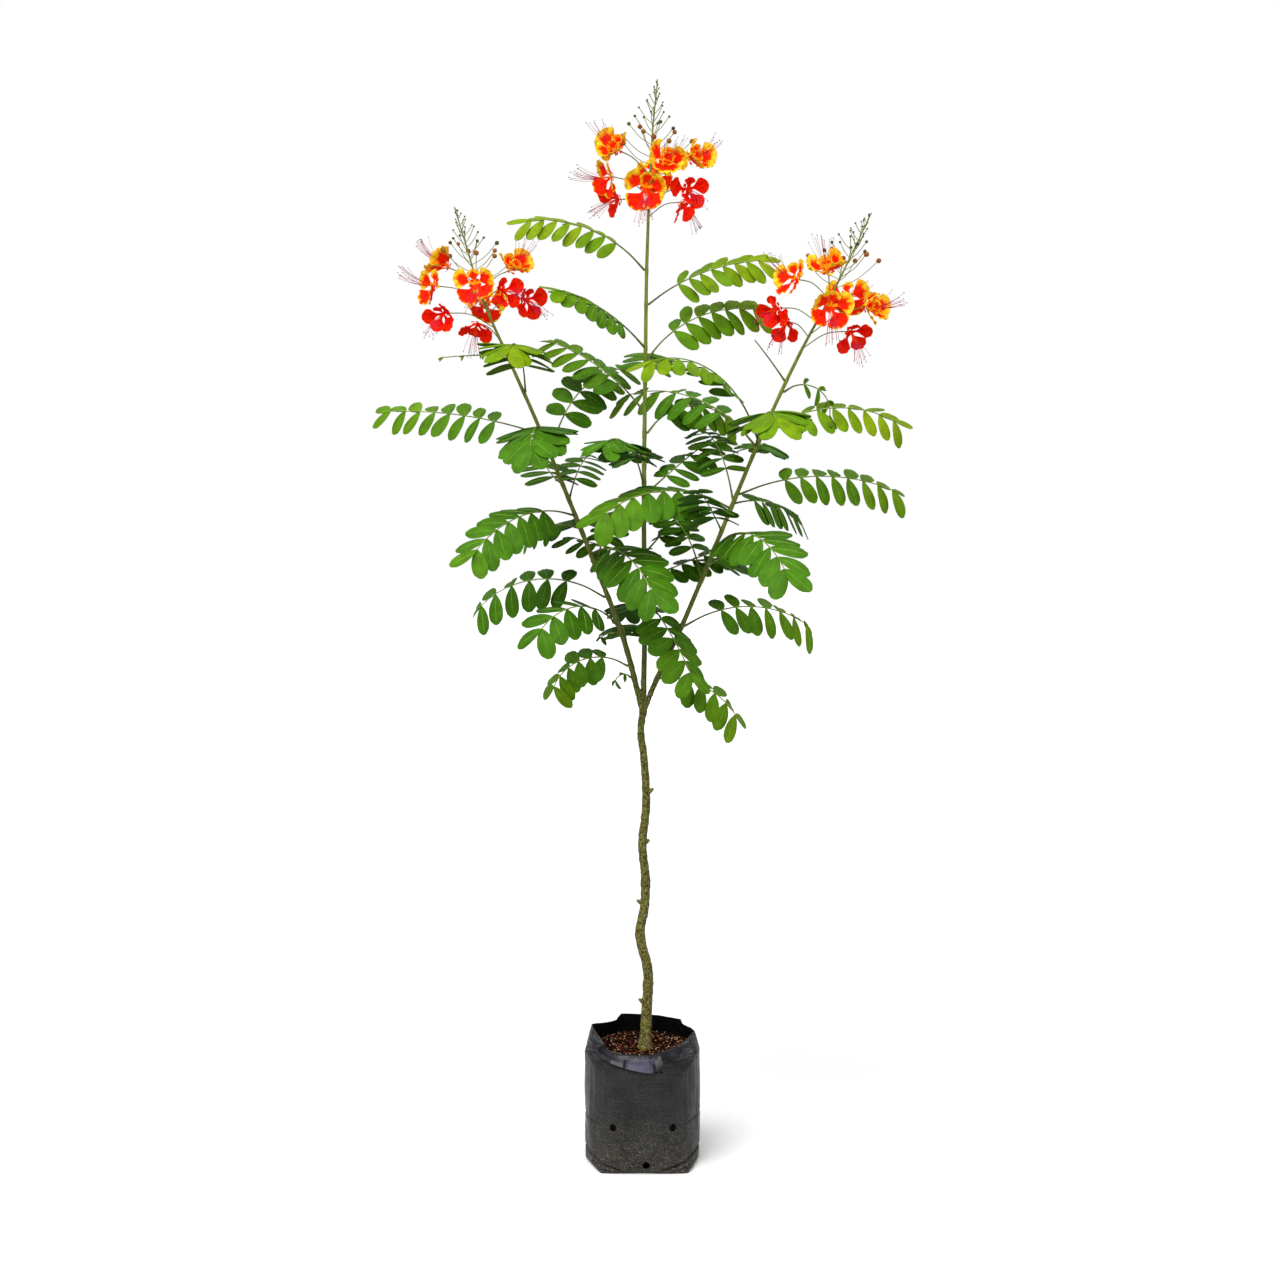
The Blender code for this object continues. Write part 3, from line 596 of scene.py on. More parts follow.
def cuff_place(place):
    """Lays the grid's point over the rim: X picks the column, Y runs from inside the bag to the hem."""
    share, down = place.x, place.y
    angle = blend((CUFF_FROM, CUFF_TO), share)
    radius, height = around(RIM_CORNERS, angle)
    column = share * CUFF_TURNS
    low = min(int(column), CUFF_TURNS - 1)
    hang, stand = (blend((CUFF_HEM[low][side], CUFF_HEM[low + 1][side]), column - low) for side in (0, 1))
    if down < CUFF_INSIDE:
        inside = (CUFF_INSIDE - down) / CUFF_INSIDE
        radius, height = radius - CUFF_CLEAR - 0.001 * inside, height + CUFF_CLEAR - 0.006 * inside
    elif down < CUFF_EDGE:
        radius, height = radius + CUFF_CLEAR, height + 0.0014
    else:
        hem = (down - CUFF_EDGE) / (1 - CUFF_EDGE)
        radius = blend((radius, BAG_RADIUS), ease(0, 1.1, hem)) + CUFF_CLEAR + stand * math.sin(hem * 2.2)
        height = height - hang * hem
    return Vector((radius * math.cos(angle), radius * math.sin(angle), height))


def model_cuff():
    """The grid laid over the rim, with sharp folds and the film's thickness."""
    cuff = reshape(unit_grid("turned_cuff", CUFF_TURNS, CUFF_ROWS, (0.5, 0.5, 0)), cuff_place)
    modify(cuff, "SUBSURF", levels=1, render_levels=1, subdivision_type="SIMPLE")
    modify(cuff, "SOLIDIFY", thickness=FILM, offset=0)
    with editing(cuff):
        bpy.ops.mesh.select_all(action="SELECT")
        bpy.ops.mesh.normals_make_consistent(inside=False)
    return smooth(cuff, 9)


cuff = model_cuff()
print("cuff hangs to", round(min(vert.co.z for vert in cuff.data.vertices), 4))

# %% [markdown]
# ## Black film finish
# Polythene film is smooth and a little shiny, but this bag is scuffed and
# dusty: pale specks, most of them low down, and brown dust from the mix near
# the foot. The specks come from small noise cut off near its peaks, and dust
# and specks grow towards the floor. Pale upright streaks are painted sheen,
# strongest near the top of the bag. Fine bump breaks up the shine. The cuff
# shows the cleaner, blue-grey side of the film, and its middle facet is
# painted lighter, a painted highlight where it catches the light.


# %% Film finishes
# The X span and the top height of the cuff's middle facet, which is painted lighter as a painted highlight.
PAINTED_HIGHLIGHT_SPAN = (-0.0215, 0.0145)
PAINTED_HIGHLIGHT_TOP = 0.1512


def film_finish():
    """The bag's outside: clouded black film under dust, scuffs and specks, with upright streaks of painted
    sheen.
    """
    film = Finish("black_film", 0.45, specular_ior_level=0.2)
    height = film.height()
    low = 1 - height.above(0.004, 0.085)
    clouds = film.noise(30, 4, 0.6).above(0.35, 0.7)
    base = film.mix(clouds, shown(20, 21, 21), shown(36, 37, 38))
    dust = low * film.noise(85, 5, 0.7).above(0.40, 0.62)
    base = film.mix(dust * 0.55, base, shown(78, 70, 58))
    # Pale upright streaks of painted sheen: faint all over, strongest near the top of the bag.
    streaks = film.noise(1, 4, 0.65, film.stretched(46, 46, 420)).above(0.5, 0.72)
    base = film.mix(streaks * (height.above(0.138, 0.152) * 0.5 + 0.08), base, shown(124, 126, 132))
    specks = film.noise(840, 2, 0.6).above(0.60, 0.68) * (low * 0.41 + 0.11)
    dull = film.noise(90, 3).above(0.2, 0.8) * 0.16 + 0.34 + dust * 0.3
    film.paint(film.mix(specks, base, shown(206, 202, 184)), dull)
    return film.emboss(film.noise(420, 4, 0.6) + film.noise(60, 2) * 0.8, 0.0004)


def cuff_finish(name, dark, light):
    """The film's turned-out side."""
    film = Finish(name, 0.3, specular_ior_level=0.3).toned(dark, light, 70, 3, 0.4, 0.6)
    film.paint(roughness=film.noise(80, 2).above(0.2, 0.8) * 0.15 + 0.22)
    return film.emboss(film.noise(300, 3), 0.0003)


inner_film = Finish("film_inside", 0.5, specular_ior_level=0.15)
inner_film.toned((6, 6, 7), (18, 17, 17), 120, 3, 0.4, 0.7)
for side, finish in enumerate((film_finish(), inner_film)):
    bag.data.materials[side] = finish.material
dress(bag, "bag", ["grow_bag"])
# Faces of the middle facet take the second, lighter finish: a painted highlight.
for face in cuff.data.polygons:
    painted_highlight = PAINTED_HIGHLIGHT_SPAN[0] < face.center.x < PAINTED_HIGHLIGHT_SPAN[1] and face.center.z < PAINTED_HIGHLIGHT_TOP
    face.material_index = int(painted_highlight)
dress(cuff, "bag", ["grow_bag"], cuff_finish("film_underside", (13, 13, 18), (25, 25, 33)),
      cuff_finish("film_painted_highlight", (52, 51, 66), (76, 74, 92)))

# %% [markdown]
# ## Potting mix
# A coarse reddish-brown mix of bark, husk and grit, slightly heaped against
# the back. The body is a filled form just inside the film. Loose crumbs of
# five tones lie on its top, copied from two rough chunks by seeded chance.

# %% Mix body
MIX_LEVEL = 0.147
MIX_TURNS = 72
MIX_ROWS = 10
MIX_RINGS = 26
# The cylinder's points above this height are the mix's top.
MIX_TOP_FROM = 0.14
MIX_GAP = 0.0022
FOOT_GAP = 0.0075


def mix_top(x, y):
    """The lumpy height of the mix's top."""
    lumps = 0.0022 * noise.noise(Vector((x * 55, y * 55, 1.0)))
    lumps += 0.0010 * noise.noise(Vector((x * 190, y * 190, 5.0)))
    return MIX_LEVEL + 0.0045 * ease(-0.02, 0.055, y) - 0.0008 + lumps


def mix_form(place):
    """Fits the cylinder to the bag's inside, with its top loosened into lumps."""
    angle = math.atan2(place.y, place.x)
    top = place.z > MIX_TOP_FROM
    if top:
        rim_radius, rim_height = around(RIM_CORNERS, angle)
        share = min(1.0, max(0.0, (MIX_LEVEL - SHOULDER_FRONT) / (rim_height - SHOULDER_FRONT)))
        wall = blend((BAG_RADIUS, rim_radius), share ** 1.25) - MIX_GAP - 0.0006
    else:
        wall = faceted(blend((BAG_FOOT_RADIUS, BAG_RADIUS), ease(0, 0.02, place.z)), angle, place.z)
        wall -= blend((FOOT_GAP, MIX_GAP), ease(0.016, 0.032, place.z))
    radius = place.xy.length * wall
    x, y = radius * math.cos(angle), radius * math.sin(angle)
    return Vector((x, y, mix_top(x, y) if top else max(0.0016, place.z)))


def model_mix():
    """A cylinder cut into rows, its top inset ring by ring, then fitted to the bag."""
    bpy.ops.object.select_all(action="DESELECT")
    bpy.ops.mesh.primitive_cylinder_add(vertices=MIX_TURNS, radius=1, depth=MIX_LEVEL, end_fill_type="NGON",
                                        location=(0, 0, 0))
    mix = started("mix_body")
    with editing(mix):
        bpy.ops.mesh.select_all(action="SELECT")
        bpy.ops.transform.translate(value=(0, 0, MIX_LEVEL / 2))
        pick(mix, lambda edge: abs(edge.verts[0].co.z - edge.verts[1].co.z) > 0.05, "EDGE")
        bpy.ops.mesh.subdivide(number_cuts=MIX_ROWS)
        pick(mix, lambda face: face.normal.z > 0.9 and len(face.verts) > 4, "FACE")
        for _ in range(MIX_RINGS):
            bpy.ops.mesh.inset(thickness=1 / (MIX_RINGS + 1))
            pick(mix, lambda face: face.normal.z > 0.9 and len(face.verts) > 4, "FACE")
        bpy.ops.mesh.poke()
    return smooth(reshape(mix, mix_form), 60)


mix_body = model_mix()
print("mix top at", round(max(vert.co.z for vert in mix_body.data.vertices), 4))

# %% [markdown]
# ## Copies from arrays
# Crumbs, leaflets, petals and buds repeat by the hundred. Each is modelled
# once. A `Shape` keeps the modelled mesh as arrays, and `join_copies` lays
# all its copies into one mesh, each with its own matrix and tone. Linked
# duplicates would do for one tone, but here nearly every copy differs.


# %% Shape and join_copies
class Shape:
    """A modelled object as arrays: its points, its faces and the zone that each face is painted from."""

    def __init__(self, obj):
        mesh = obj.data
        self.points = np.array([vert.co for vert in mesh.vertices]).reshape(-1, 3)
        self.corners = np.array([corner.vertex_index for corner in mesh.loops], np.int32)
        self.sizes = np.array([len(face.vertices) for face in mesh.polygons], np.int32)
        self.zones = np.array([face.material_index for face in mesh.polygons], np.int32)
        self.middles = np.array([face.center for face in mesh.polygons]).reshape(-1, 3)
        bpy.data.objects.remove(obj, do_unlink=True)

    def bent(self, points):
        """The same faces on other points."""
        other = copy(self)
        other.points = points
        return other


def join_copies(name, copies, finishes):
    """One mesh of many copies: each a shape, a matrix and finish numbers for its faces or zones."""
    points, corners, sizes, tones = [], [], [], []
    count = 0
    for shape, matrix, tone in copies:
        turn = np.array(matrix)
        points.append(shape.points @ turn[:3, :3].T + turn[:3, 3])
        corners.append(shape.corners + count)
        sizes.append(shape.sizes)
        tones.append(np.asarray(tone)[shape.zones] if len(tone) < len(shape.zones) else np.asarray(tone))
        count += len(shape.points)
    points, corners, sizes, tones = (np.concatenate(part) for part in (points, corners, sizes, tones))
    mesh = bpy.data.meshes.new(name)
    mesh.vertices.add(len(points))
    mesh.vertices.foreach_set("co", points.astype(np.float32).ravel())
    mesh.loops.add(len(corners))
    mesh.loops.foreach_set("vertex_index", corners.astype(np.int32))
    mesh.polygons.add(len(sizes))
    mesh.polygons.foreach_set("loop_start", np.concatenate(([0], np.cumsum(sizes)[:-1])).astype(np.int32))
    mesh.update(calc_edges=True)
    for finish in finishes:
        mesh.materials.append(finish.material)
    mesh.polygons.foreach_set("material_index", tones.astype(np.int32))
    mesh.update()
    obj = bpy.data.objects.new(name, mesh)
    bpy.context.scene.collection.objects.link(obj)
    return obj


# %% [markdown]
# The mix's crumbs are chunks of bark and flat chips of husk. Both start as
# small spheres with few faces, stretched and with two corners pushed in, so
# that they look broken and not rolled. None lies where the trunk stands.

# %% Crumbs
CRUMBS = 5200
CRUMB_SPREAD = 0.0655
CRUMB_SIZES = (0.0005, 0.00145)
# How often each tone is drawn, from dark to orange.
CRUMB_SHARES = (12, 4.0, 2.2, 1.2, 0.9)
TRUNK_FOOT_X = 0.004
TRUNK_CLEAR = 0.009


def model_crumb(name, stretch):
    """One rough chunk of bark or husk."""
    bpy.ops.object.select_all(action="DESELECT")
    bpy.ops.mesh.primitive_ico_sphere_add(subdivisions=1, radius=1, location=(0, 0, 0))
    crumb = started(name)
    with editing(crumb):
        bpy.ops.mesh.select_all(action="SELECT")
        bpy.ops.transform.resize(value=stretch)
        pick(crumb, lambda co: co.x + co.y > 0.9)
        bpy.ops.transform.translate(value=(-0.2, -0.1, 0.25))
        pick(crumb, lambda co: co.y - co.x > 1.0)
        bpy.ops.transform.translate(value=(0.25, -0.2, -0.1))
    return Shape(crumb)


def strew(chance, shapes):
    """Crumbs thrown on the mix's top: their shapes, matrices and tones."""
    crumbs = []
    for _ in range(CRUMBS):
        turn, reach = chance.uniform(0, math.tau), CRUMB_SPREAD * math.sqrt(chance.random())
        x, y = reach * math.cos(turn), reach * math.sin(turn)
        if (x - TRUNK_FOOT_X) ** 2 + y ** 2 < TRUNK_CLEAR ** 2:
            continue
        size = chance.uniform(*CRUMB_SIZES)
        spin = Matrix.Rotation(chance.uniform(0, math.tau), 4, "Z")
        tip = Matrix.Rotation(chance.uniform(-0.7, 0.7), 4, "X")
        place = Matrix.Translation((x, y, mix_top(x, y) + size * 0.25))
        tone = chance.choices(range(len(CRUMB_SHARES)), CRUMB_SHARES)[0]
        crumbs.append((chance.choice(shapes), place @ (spin @ tip) @ Matrix.Scale(size, 4), [tone]))
    return crumbs


crumbs = strew(Random(7), (model_crumb("chunk", (1.0, 0.8, 0.7)), model_crumb("chip", (1.5, 0.6, 0.35))))
print(len(crumbs), "crumbs")

# %% [markdown]
# The mix is matt and damp, so its colours are dark and warm. The body between
# the crumbs and the dark crumb tone, drawn most often, are darker still:
# painted shade in the gaps, over the damp mix's own dark brown. Noise at crumb
# size varies the body, and each crumb takes one of five tones.


# %% Mix finishes
# The darkest and lightest colour of each tone.
CRUMB_TONES = {
    # The dark tone is partly the damp mix's colour and partly painted shade in the gaps between crumbs.
    "dark": ((8, 4, 2), (26, 13, 7)),
    "brown": ((34, 16, 9), (78, 40, 24)),
    "red": ((92, 36, 24), (140, 66, 46)),
    "pale": ((184, 150, 116), (226, 196, 164)),
    "orange": ((150, 88, 40), (192, 128, 70)),
}


def grit_finish(name, dark, light):
    """Matt grit between two colours."""
    grit = Finish(name, 0.9, specular_ior_level=0.05).toned(dark, light, 700, 3, 0.35, 0.65)
    return grit.emboss(grit.noise(900, 3), 0.0004)


# The body shows only between the crumbs. Its near-black is partly painted shade in those gaps.
dress(mix_body, "mix", ["potting_mix"], grit_finish("potting_mix", (6, 3, 2), (26, 14, 8)))
crumb_finishes = [grit_finish("crumb_" + tone, *colours) for tone, colours in CRUMB_TONES.items()]
dress(smooth(join_copies("mix_crumbs", crumbs, crumb_finishes), 30), "mix", ["potting_mix"])

# %% [markdown]
# ## The plant's rule
# The limbs and leaves follow the same named sizes and functions as the CAD
# source, written again here so that every twig lands where its solid is.

# %% Trunk and stem sizes
GAP = 0.0003
# Where the trunk's middle is: height and X.
TRUNK_BENDS = (
    (0.200, 0.006), (0.250, 0.007), (0.298, -0.003), (0.335, 0.003), (0.372, 0.004),
    (0.415, 0.000), (0.470, 0.005), (0.530, 0.002), (0.562, -0.002),
)
TRUNK_DEPTH_BEND = 0.0025
TRUNK_DEPTH_WAVES = 40
TRUNK_BASE_RADIUS = 0.0074
TRUNK_TOP_RADIUS = 0.0047
ROOT_FLARE = 1.35
ROOT_FLARE_HEIGHT = 0.022
FORK_HEIGHT = 0.590
FORK_TOP = 0.630
# The height and heading of each stub of an old leaf stalk.
TRUNK_STUBS = ((0.205, 180), (0.333, 170), (0.414, 20), (0.483, 0))

# way: the points that the stem's middle runs through. flowers_from: the height where its head starts.
Stem = namedtuple("Stem", "way foot_radius top_radius flowers_from")
STEMS = {
    "left": Stem(
        ((0.000, 0.000, FORK_HEIGHT), (-0.022, 0.004, 0.675), (-0.043, 0.010, 0.733), (-0.132, 0.038, 0.950),
         (-0.175, 0.052, 1.046), (-0.206, 0.062, 1.117), (-0.226, 0.069, 1.182), (-0.242, 0.075, 1.234)),
        0.0039, 0.0022, 1.050,
    ),
    "middle": Stem(
        ((0.001, 0.002, FORK_HEIGHT), (0.003, 0.010, 0.700), (0.002, 0.014, 0.850), (0.004, 0.016, 1.050),
         (0.006, 0.014, 1.170), (0.012, 0.010, 1.310), (0.019, 0.006, 1.386)),
        0.0039, 0.0022, 1.180,
    ),
    "right": Stem(
        ((0.002, 0.000, FORK_HEIGHT), (0.018, -0.003, 0.630), (0.052, -0.012, 0.704), (0.149, -0.044, 0.943),
         (0.194, -0.058, 1.042), (0.236, -0.070, 1.122), (0.259, -0.076, 1.170), (0.280, -0.081, 1.215)),
        0.0036, 0.0022, 1.042,
    ),
}
STEM_STEP = 0.035
STEM_TIP_RADIUS = 0.0007


# %% Stem rule
def smooth_path(way, step):
    """Points a step apart along a smooth curve through the way points."""
    way = [Vector(point) for point in way]
    handles = []
    for i, point in enumerate(way):
        before, after = way[max(i - 1, 0)], way[min(i + 1, len(way) - 1)]
        handles.append((after - before).normalized())
    path = [way[0]]
    for i in range(len(way) - 1):
        span = (way[i + 1] - way[i]).length
        count = max(2, round(span / step) + 1)
        ends = (way[i], way[i] + handles[i] * span / 3, way[i + 1] - handles[i + 1] * span / 3, way[i + 1])
        path += interpolate_bezier(*ends, count)[1:]
    return path


def stem_radius(name, height):
    """A stem's radius: an even taper to where its flowers start, then a quicker one to its tip."""
    stem = STEMS[name]
    if height <= stem.flowers_from:
        share = (height - FORK_HEIGHT) / (stem.flowers_from - FORK_HEIGHT)
        return blend((stem.foot_radius, stem.top_radius), share)
    share = (height - stem.flowers_from) / (stem.way[-1][2] - stem.flowers_from)
    return blend((stem.top_radius, STEM_TIP_RADIUS), share)


COARSE = {name: smooth_path(STEMS[name].way, STEM_STEP) for name in STEMS}


def stem_at(name, height):
    """The stem's centre and direction at a height."""
    path = COARSE[name]
    for first, second in zip(path, path[1:]):
        if first.z <= height <= second.z:
            share = (height - first.z) / (second.z - first.z)
            return first.lerp(second, share), (second - first).normalized()
    return path[-1], (path[-1] - path[-2]).normalized()


def heading_vector(degrees, rise=0):
    """A unit vector with this compass heading and rise."""
    heading, rise = math.radians(degrees), math.radians(rise)
    return Vector((math.cos(rise) * math.cos(heading), math.cos(rise) * math.sin(heading), math.sin(rise)))


# %% [markdown]
# ## Twigs as strands
# A twig is a line with a thickness. One curve object holds any number of
# them: each spline's points carry their own radius, the curve's bevel makes
# them round, and the whole is turned into a mesh.


# %% Strands
def strands(name, lines, sides=6):
    """One mesh of round tapering twigs. Each line is its points and its radii."""
    bpy.ops.object.select_all(action="DESELECT")
    bpy.ops.curve.primitive_bezier_curve_add(location=(0, 0, 0))
    obj = started(name)
    curve = obj.data
    curve.splines.clear()
    curve.dimensions = "3D"
    curve.bevel_depth = 1.0
    curve.bevel_resolution = (sides - 4) // 2
    curve.use_fill_caps = True
    for path, radii in lines:
        spline = curve.splines.new("POLY")
        spline.points.add(len(path) - 1)
        for point, place, radius in zip(spline.points, path, radii):
            point.co = (*place, 1)
            point.radius = radius
    bpy.ops.object.convert(target="MESH")
    with editing(obj):
        bpy.ops.mesh.select_all(action="SELECT")
        bpy.ops.mesh.remove_doubles(threshold=0.000004)
        bpy.ops.mesh.normals_make_consistent(inside=False)
    return smooth(obj, 50)


# %% [markdown]
# ## Trunk and fork
# The trunk is thin, crooked and knobbly, with scars and short stubs where old
# leaves sat. Tubes for the trunk, the fork's limbs and the stubs are joined,
# and a voxel remesh melts them into one skin. Two displacements then raise
# the coarse ridges and the fine bark.


# %% Trunk form
TRUNK_STEP = 0.004
STUB_RISE = 35
STUB_REACH = 0.0060
# A stub's radii at these shares of its reach. The last two make its broken end.
STUB_SHARES = (0, 0.55, 0.8, 1)
STUB_RADII = (0.0036, 0.0031, 0.0023, 0.0019)
VOXEL = 0.00085


def trunk_radius(height):
    """The trunk's radius: an even taper, wider where the roots begin."""
    share = (height - MIX_LEVEL) / (FORK_HEIGHT - MIX_LEVEL)
    flare = max(0.0, 1 - (height - MIX_LEVEL) / ROOT_FLARE_HEIGHT)
    return blend((TRUNK_BASE_RADIUS, TRUNK_TOP_RADIUS), share) * blend((1, ROOT_FLARE), flare)


def trunk_way():
    """The points that the trunk's middle runs through."""
    foot = Vector((TRUNK_FOOT_X, 0, MIX_LEVEL - 0.004))
    way = [foot, Vector((TRUNK_FOOT_X, 0, MIX_LEVEL + GAP)) + UP * ROOT_FLARE_HEIGHT / 2]
    for height, x in TRUNK_BENDS:
        way.append(Vector((x, TRUNK_DEPTH_BEND * math.sin(height * TRUNK_DEPTH_WAVES), height)))
    return way + [Vector(STEMS["middle"].way[0])]


def knobs(height, seed, pitch, swell):
    """Swellings at uneven spacing along a limb."""
    bump = noise.noise(Vector((seed, 0, height / pitch)))
    return 1 + swell * max(0.0, bump) ** 1.2


def fork_line(name):
    """A stem's foot inside the fork."""
    path = [point for point in smooth_path(STEMS[name].way, TRUNK_STEP) if point.z < FORK_TOP + 0.004]
    path[0] = path[0] - UP * 0.006
    return path, [stem_radius(name, max(point.z, FORK_HEIGHT)) for point in path]


def stub_line(path, height, heading):
    """A stub, from the trunk's middle outwards."""
    centre = min(path, key=lambda point: abs(point.z - height))
    reach = heading_vector(heading, STUB_RISE) * (trunk_radius(height) + STUB_REACH)
    return [centre + reach * share for share in STUB_SHARES], STUB_RADII


def model_trunk():
    """Trunk, fork and stubs as tubes, melted into one skin."""
    path = smooth_path(trunk_way(), TRUNK_STEP)
    lines = [(path, [0.98 * trunk_radius(point.z) * knobs(point.z, 3.1, 0.017, 0.28) for point in path])]
    lines += [fork_line(name) for name in STEMS]
    lines += [stub_line(path, *stub) for stub in TRUNK_STUBS]
    trunk = strands("trunk_bark", lines, 14)
    modify(trunk, "REMESH", mode="VOXEL", voxel_size=VOXEL, use_smooth_shade=True)
    return modify(trunk, "SMOOTH", factor=0.6, iterations=3)


def engrave(obj, name, size, strength, mid_level=0.5):
    """Raises a cloudy pattern of a given size on a piece."""
    texture = bpy.data.textures.new(name, "CLOUDS")
    texture.noise_scale = size
    return modify(obj, "DISPLACE", texture=texture, strength=strength, mid_level=mid_level,
                  texture_coords="LOCAL")


trunk = model_trunk()
engrave(trunk, "bark_ridges", 0.006, 0.0018, 0.55)
engrave(trunk, "bark_grain", 0.0022, 0.0010)


# %% [markdown]
# The three stems are green and smoother. Each has a small swelling below
# every leaf, and a few soft knobs between them.


# %% Stems
NODE_SWELL = 0.16
NODE_REACH = 0.0042
STEM_SLIM = 0.94


def node_swell(height, feet):
    """How much thicker a stem is near the feet of its leaves."""
    near = sum(math.exp(-((height - foot + 0.002) / NODE_REACH) ** 2) for foot in feet)
    return 1 + NODE_SWELL * min(1, near)


def model_stem(name, feet):
    """One stem, from inside the fork into its flower head, swollen at the leaf feet."""
    stem = STEMS[name]
    low, high = FORK_TOP - 0.012, stem.flowers_from + 0.012
    path = [point for point in smooth_path(stem.way, 0.003) if low < point.z < high]
    radii = []
    for point in path:
        knobbly = stem_radius(name, point.z) * knobs(point.z, len(name), 0.012, 0.08)
        radii.append(knobbly * node_swell(point.z, feet) * STEM_SLIM)
    return engrave(strands("stem_" + name, [(path, radii)], 12), "stem_grain_" + name, 0.0035, 0.0004)


# %% [markdown]
# ## Leaves
# A leaf is a stalk with pairs of blunt oval leaflets. Its row says where it
# grows, how it bows and how deep its green is, and the functions turn that
# row into a line and into a frame for each leaflet. Leaves that point
# sideways let their leaflets hang. Those that point at the camera keep their
# blades nearly level, with smaller leaflets that point forward at the end, as
# in a real leaf seen from its tip. Leaflets of young leaves lean forward.

# %% Leaf rows
# height: of its foot. heading, rise and bow: where it points, how steeply, and how far it sinks by its tip.
# pairs: of leaflets. roll: about its length. leaflet: a leaflet's length. tone: 0 yellow green, 4 deep green,
# deeper on low, inner and far leaves partly as painted shade.
Leaf = namedtuple("Leaf", "stem height heading rise bow length pairs roll leaflet tone")
LEAF_ROWS = {
    "middle": (
        (1.150, 194, 50, 56, 0.184, 8, -32, 0.034, 0.3),
        (1.107, -7, 39, 36, 0.172, 8, 40, 0.034, 0.45),
        (1.054, 226, 39, 28, 0.176, 7, -28, 0.034, 1.4),
        (1.040, 8, 55, 62, 0.179, 7, 42, 0.038, 0.95),
        (1.012, 84, 40, 50, 0.150, 6, 10, 0.037, 1.6),
        (0.975, 153, 49, 31, 0.175, 7, -20, 0.036, 1.5),
        (0.945, 16, 57, 94, 0.140, 6, 36, 0.035, 1.5),
        (0.905, 98, 20, 34, 0.150, 6, -8, 0.037, 2.4),
        (0.884, -112, 60, 74, 0.165, 8, 1, 0.042, 2.5),
        (0.867, 42, 34, 7, 0.160, 7, 10, 0.035, 1.8),
        (0.794, 38, 42, 10, 0.105, 5, -3, 0.032, 2.9),
        (0.788, 156, 12, 0, 0.118, 5, -7, 0.030, 2.8),
        (0.756, 18, 27, 14, 0.134, 6, 10, 0.033, 2.9),
        (0.733, -56, -32, 19, 0.154, 6, -4, 0.040, 2.0),
        (0.705, 100, 26, 50, 0.160, 7, 0, 0.039, 3.2),
    ),
    "left": (
        (1.044, 194, 2, 8, 0.085, 3, -10, 0.009, 1.0),
        (0.996, -98, 77, 100, 0.160, 8, -2, 0.050, 0.7),
        (0.945, 162, 17, 19, 0.232, 8, -40, 0.035, 1.5),
        (0.936, -95, 31, 67, 0.171, 8, 5, 0.052, 2.5),
        (0.920, 47, 74, 69, 0.198, 7, 27, 0.040, 1.9),
        (0.880, 108, 8, -24, 0.152, 6, 5, 0.039, 2.2),
        (0.862, 76, 49, 43, 0.130, 6, 6, 0.032, 2.2),
        (0.840, 228, 16, 56, 0.208, 7, -24, 0.041, 2.2),
        (0.825, 150, 15, 48, 0.090, 4, -20, 0.028, 2.4),
        (0.818, 98, 18, 30, 0.150, 6, -6, 0.037, 2.7),
        (0.790, -64, 19, 61, 0.209, 7, 19, 0.046, 2.7),
        (0.779, 67, 66, 65, 0.135, 6, 5, 0.029, 2.6),
        (0.737, 169, 34, 79, 0.201, 6, -35, 0.039, 2.6),
        (0.700, 224, 46, 89, 0.167, 5, -23, 0.041, 2.7),
        (0.690, 205, 20, 60, 0.034, 1, 0, 0.015, 2.6),
        (0.668, 96, 40, 60, 0.128, 6, -6, 0.033, 3.0),
        (0.649, 183, 35, 103, 0.132, 6, -32, 0.034, 1.5),
        (0.634, 200, 50, 120, 0.032, 2, -10, 0.013, 2.4),
    ),
    "right": (
        (1.010, 206, 52, 5, 0.070, 0, 0, 0.010, 1.0),
        (0.998, 4, 42, 140, 0.095, 4, 40, 0.020, 1.0),
        (0.948, -6, 37, 64, 0.188, 7, 34, 0.034, 0.4),
        (0.938, 224, 66, 78, 0.245, 8, -8, 0.037, 0.9),
        (0.930, -82, 52, 72, 0.168, 8, 6, 0.053, 1.1),
        (0.929, 146, 49, 63, 0.236, 7, -23, 0.038, 1.7),
        (0.918, 78, 18, 30, 0.150, 6, 8, 0.037, 2.0),
        (0.870, 14, 23, 45, 0.232, 8, 36, 0.037, 1.2),
        (0.862, 108, 65, 59, 0.171, 7, -6, 0.034, 2.3),
        (0.858, 38, 10, 41, 0.131, 7, 28, 0.036, 1.8),
        (0.851, -151, 30, 62, 0.210, 7, -20, 0.043, 2.0),
        (0.824, -107, 32, 8, 0.129, 6, 6, 0.037, 2.3),
        (0.803, -66, 30, 70, 0.228, 7, 14, 0.047, 2.35),
        (0.775, 72, 12, 24, 0.150, 6, 8, 0.037, 2.7),
        (0.764, 118, 68, 66, 0.156, 7, 0, 0.031, 2.9),
        (0.701, 24, 29, 62, 0.208, 7, 32, 0.038, 1.3),
        (0.634, 2, 4, 62, 0.135, 5, 24, 0.038, 1.2),
    ),
}
LEAVES = [Leaf(stem, *row) for stem, rows in LEAF_ROWS.items() for row in rows]
STALK_SHARE = 0.28
TIP_OVERHANG = 0.55
STALK_STEPS = 6
STALK_BASE_RADIUS = 0.0013
STALK_TIP_RADIUS = 0.0008
ROOT_SHARE = 0.1
# In degrees, from the first pair to the last: how far leaflets lean towards the leaf's tip.
LEAFLET_SWEEP = (12, 40)
FRONT_LAST_SWEEP = 64
FRONT_LAST_SIZE = 0.62
# The steepest blade of a leaf that points at the camera, and of one that points sideways.
BLADE_RISE_MOST = (8, 60)
LEAFLET_HANG_FRONT = 6
# On a sideways leaf, the hang of leaflets on the near side and on the far side.
LEAFLET_HANG_SIDE = (27, 11)
YOUNG_LEAN = 16
YOUNG_HEIGHTS = (0.72, 0.98)
LEAFLET_FIRST_SIZE = 0.76
LEAFLET_LAST_SIZE = 0.94
LEAFLET_SIZE_ARC = (0.25, 0.85)
LAST_PAIR_AT = 0.985
PAIR_LEAD = 0.15


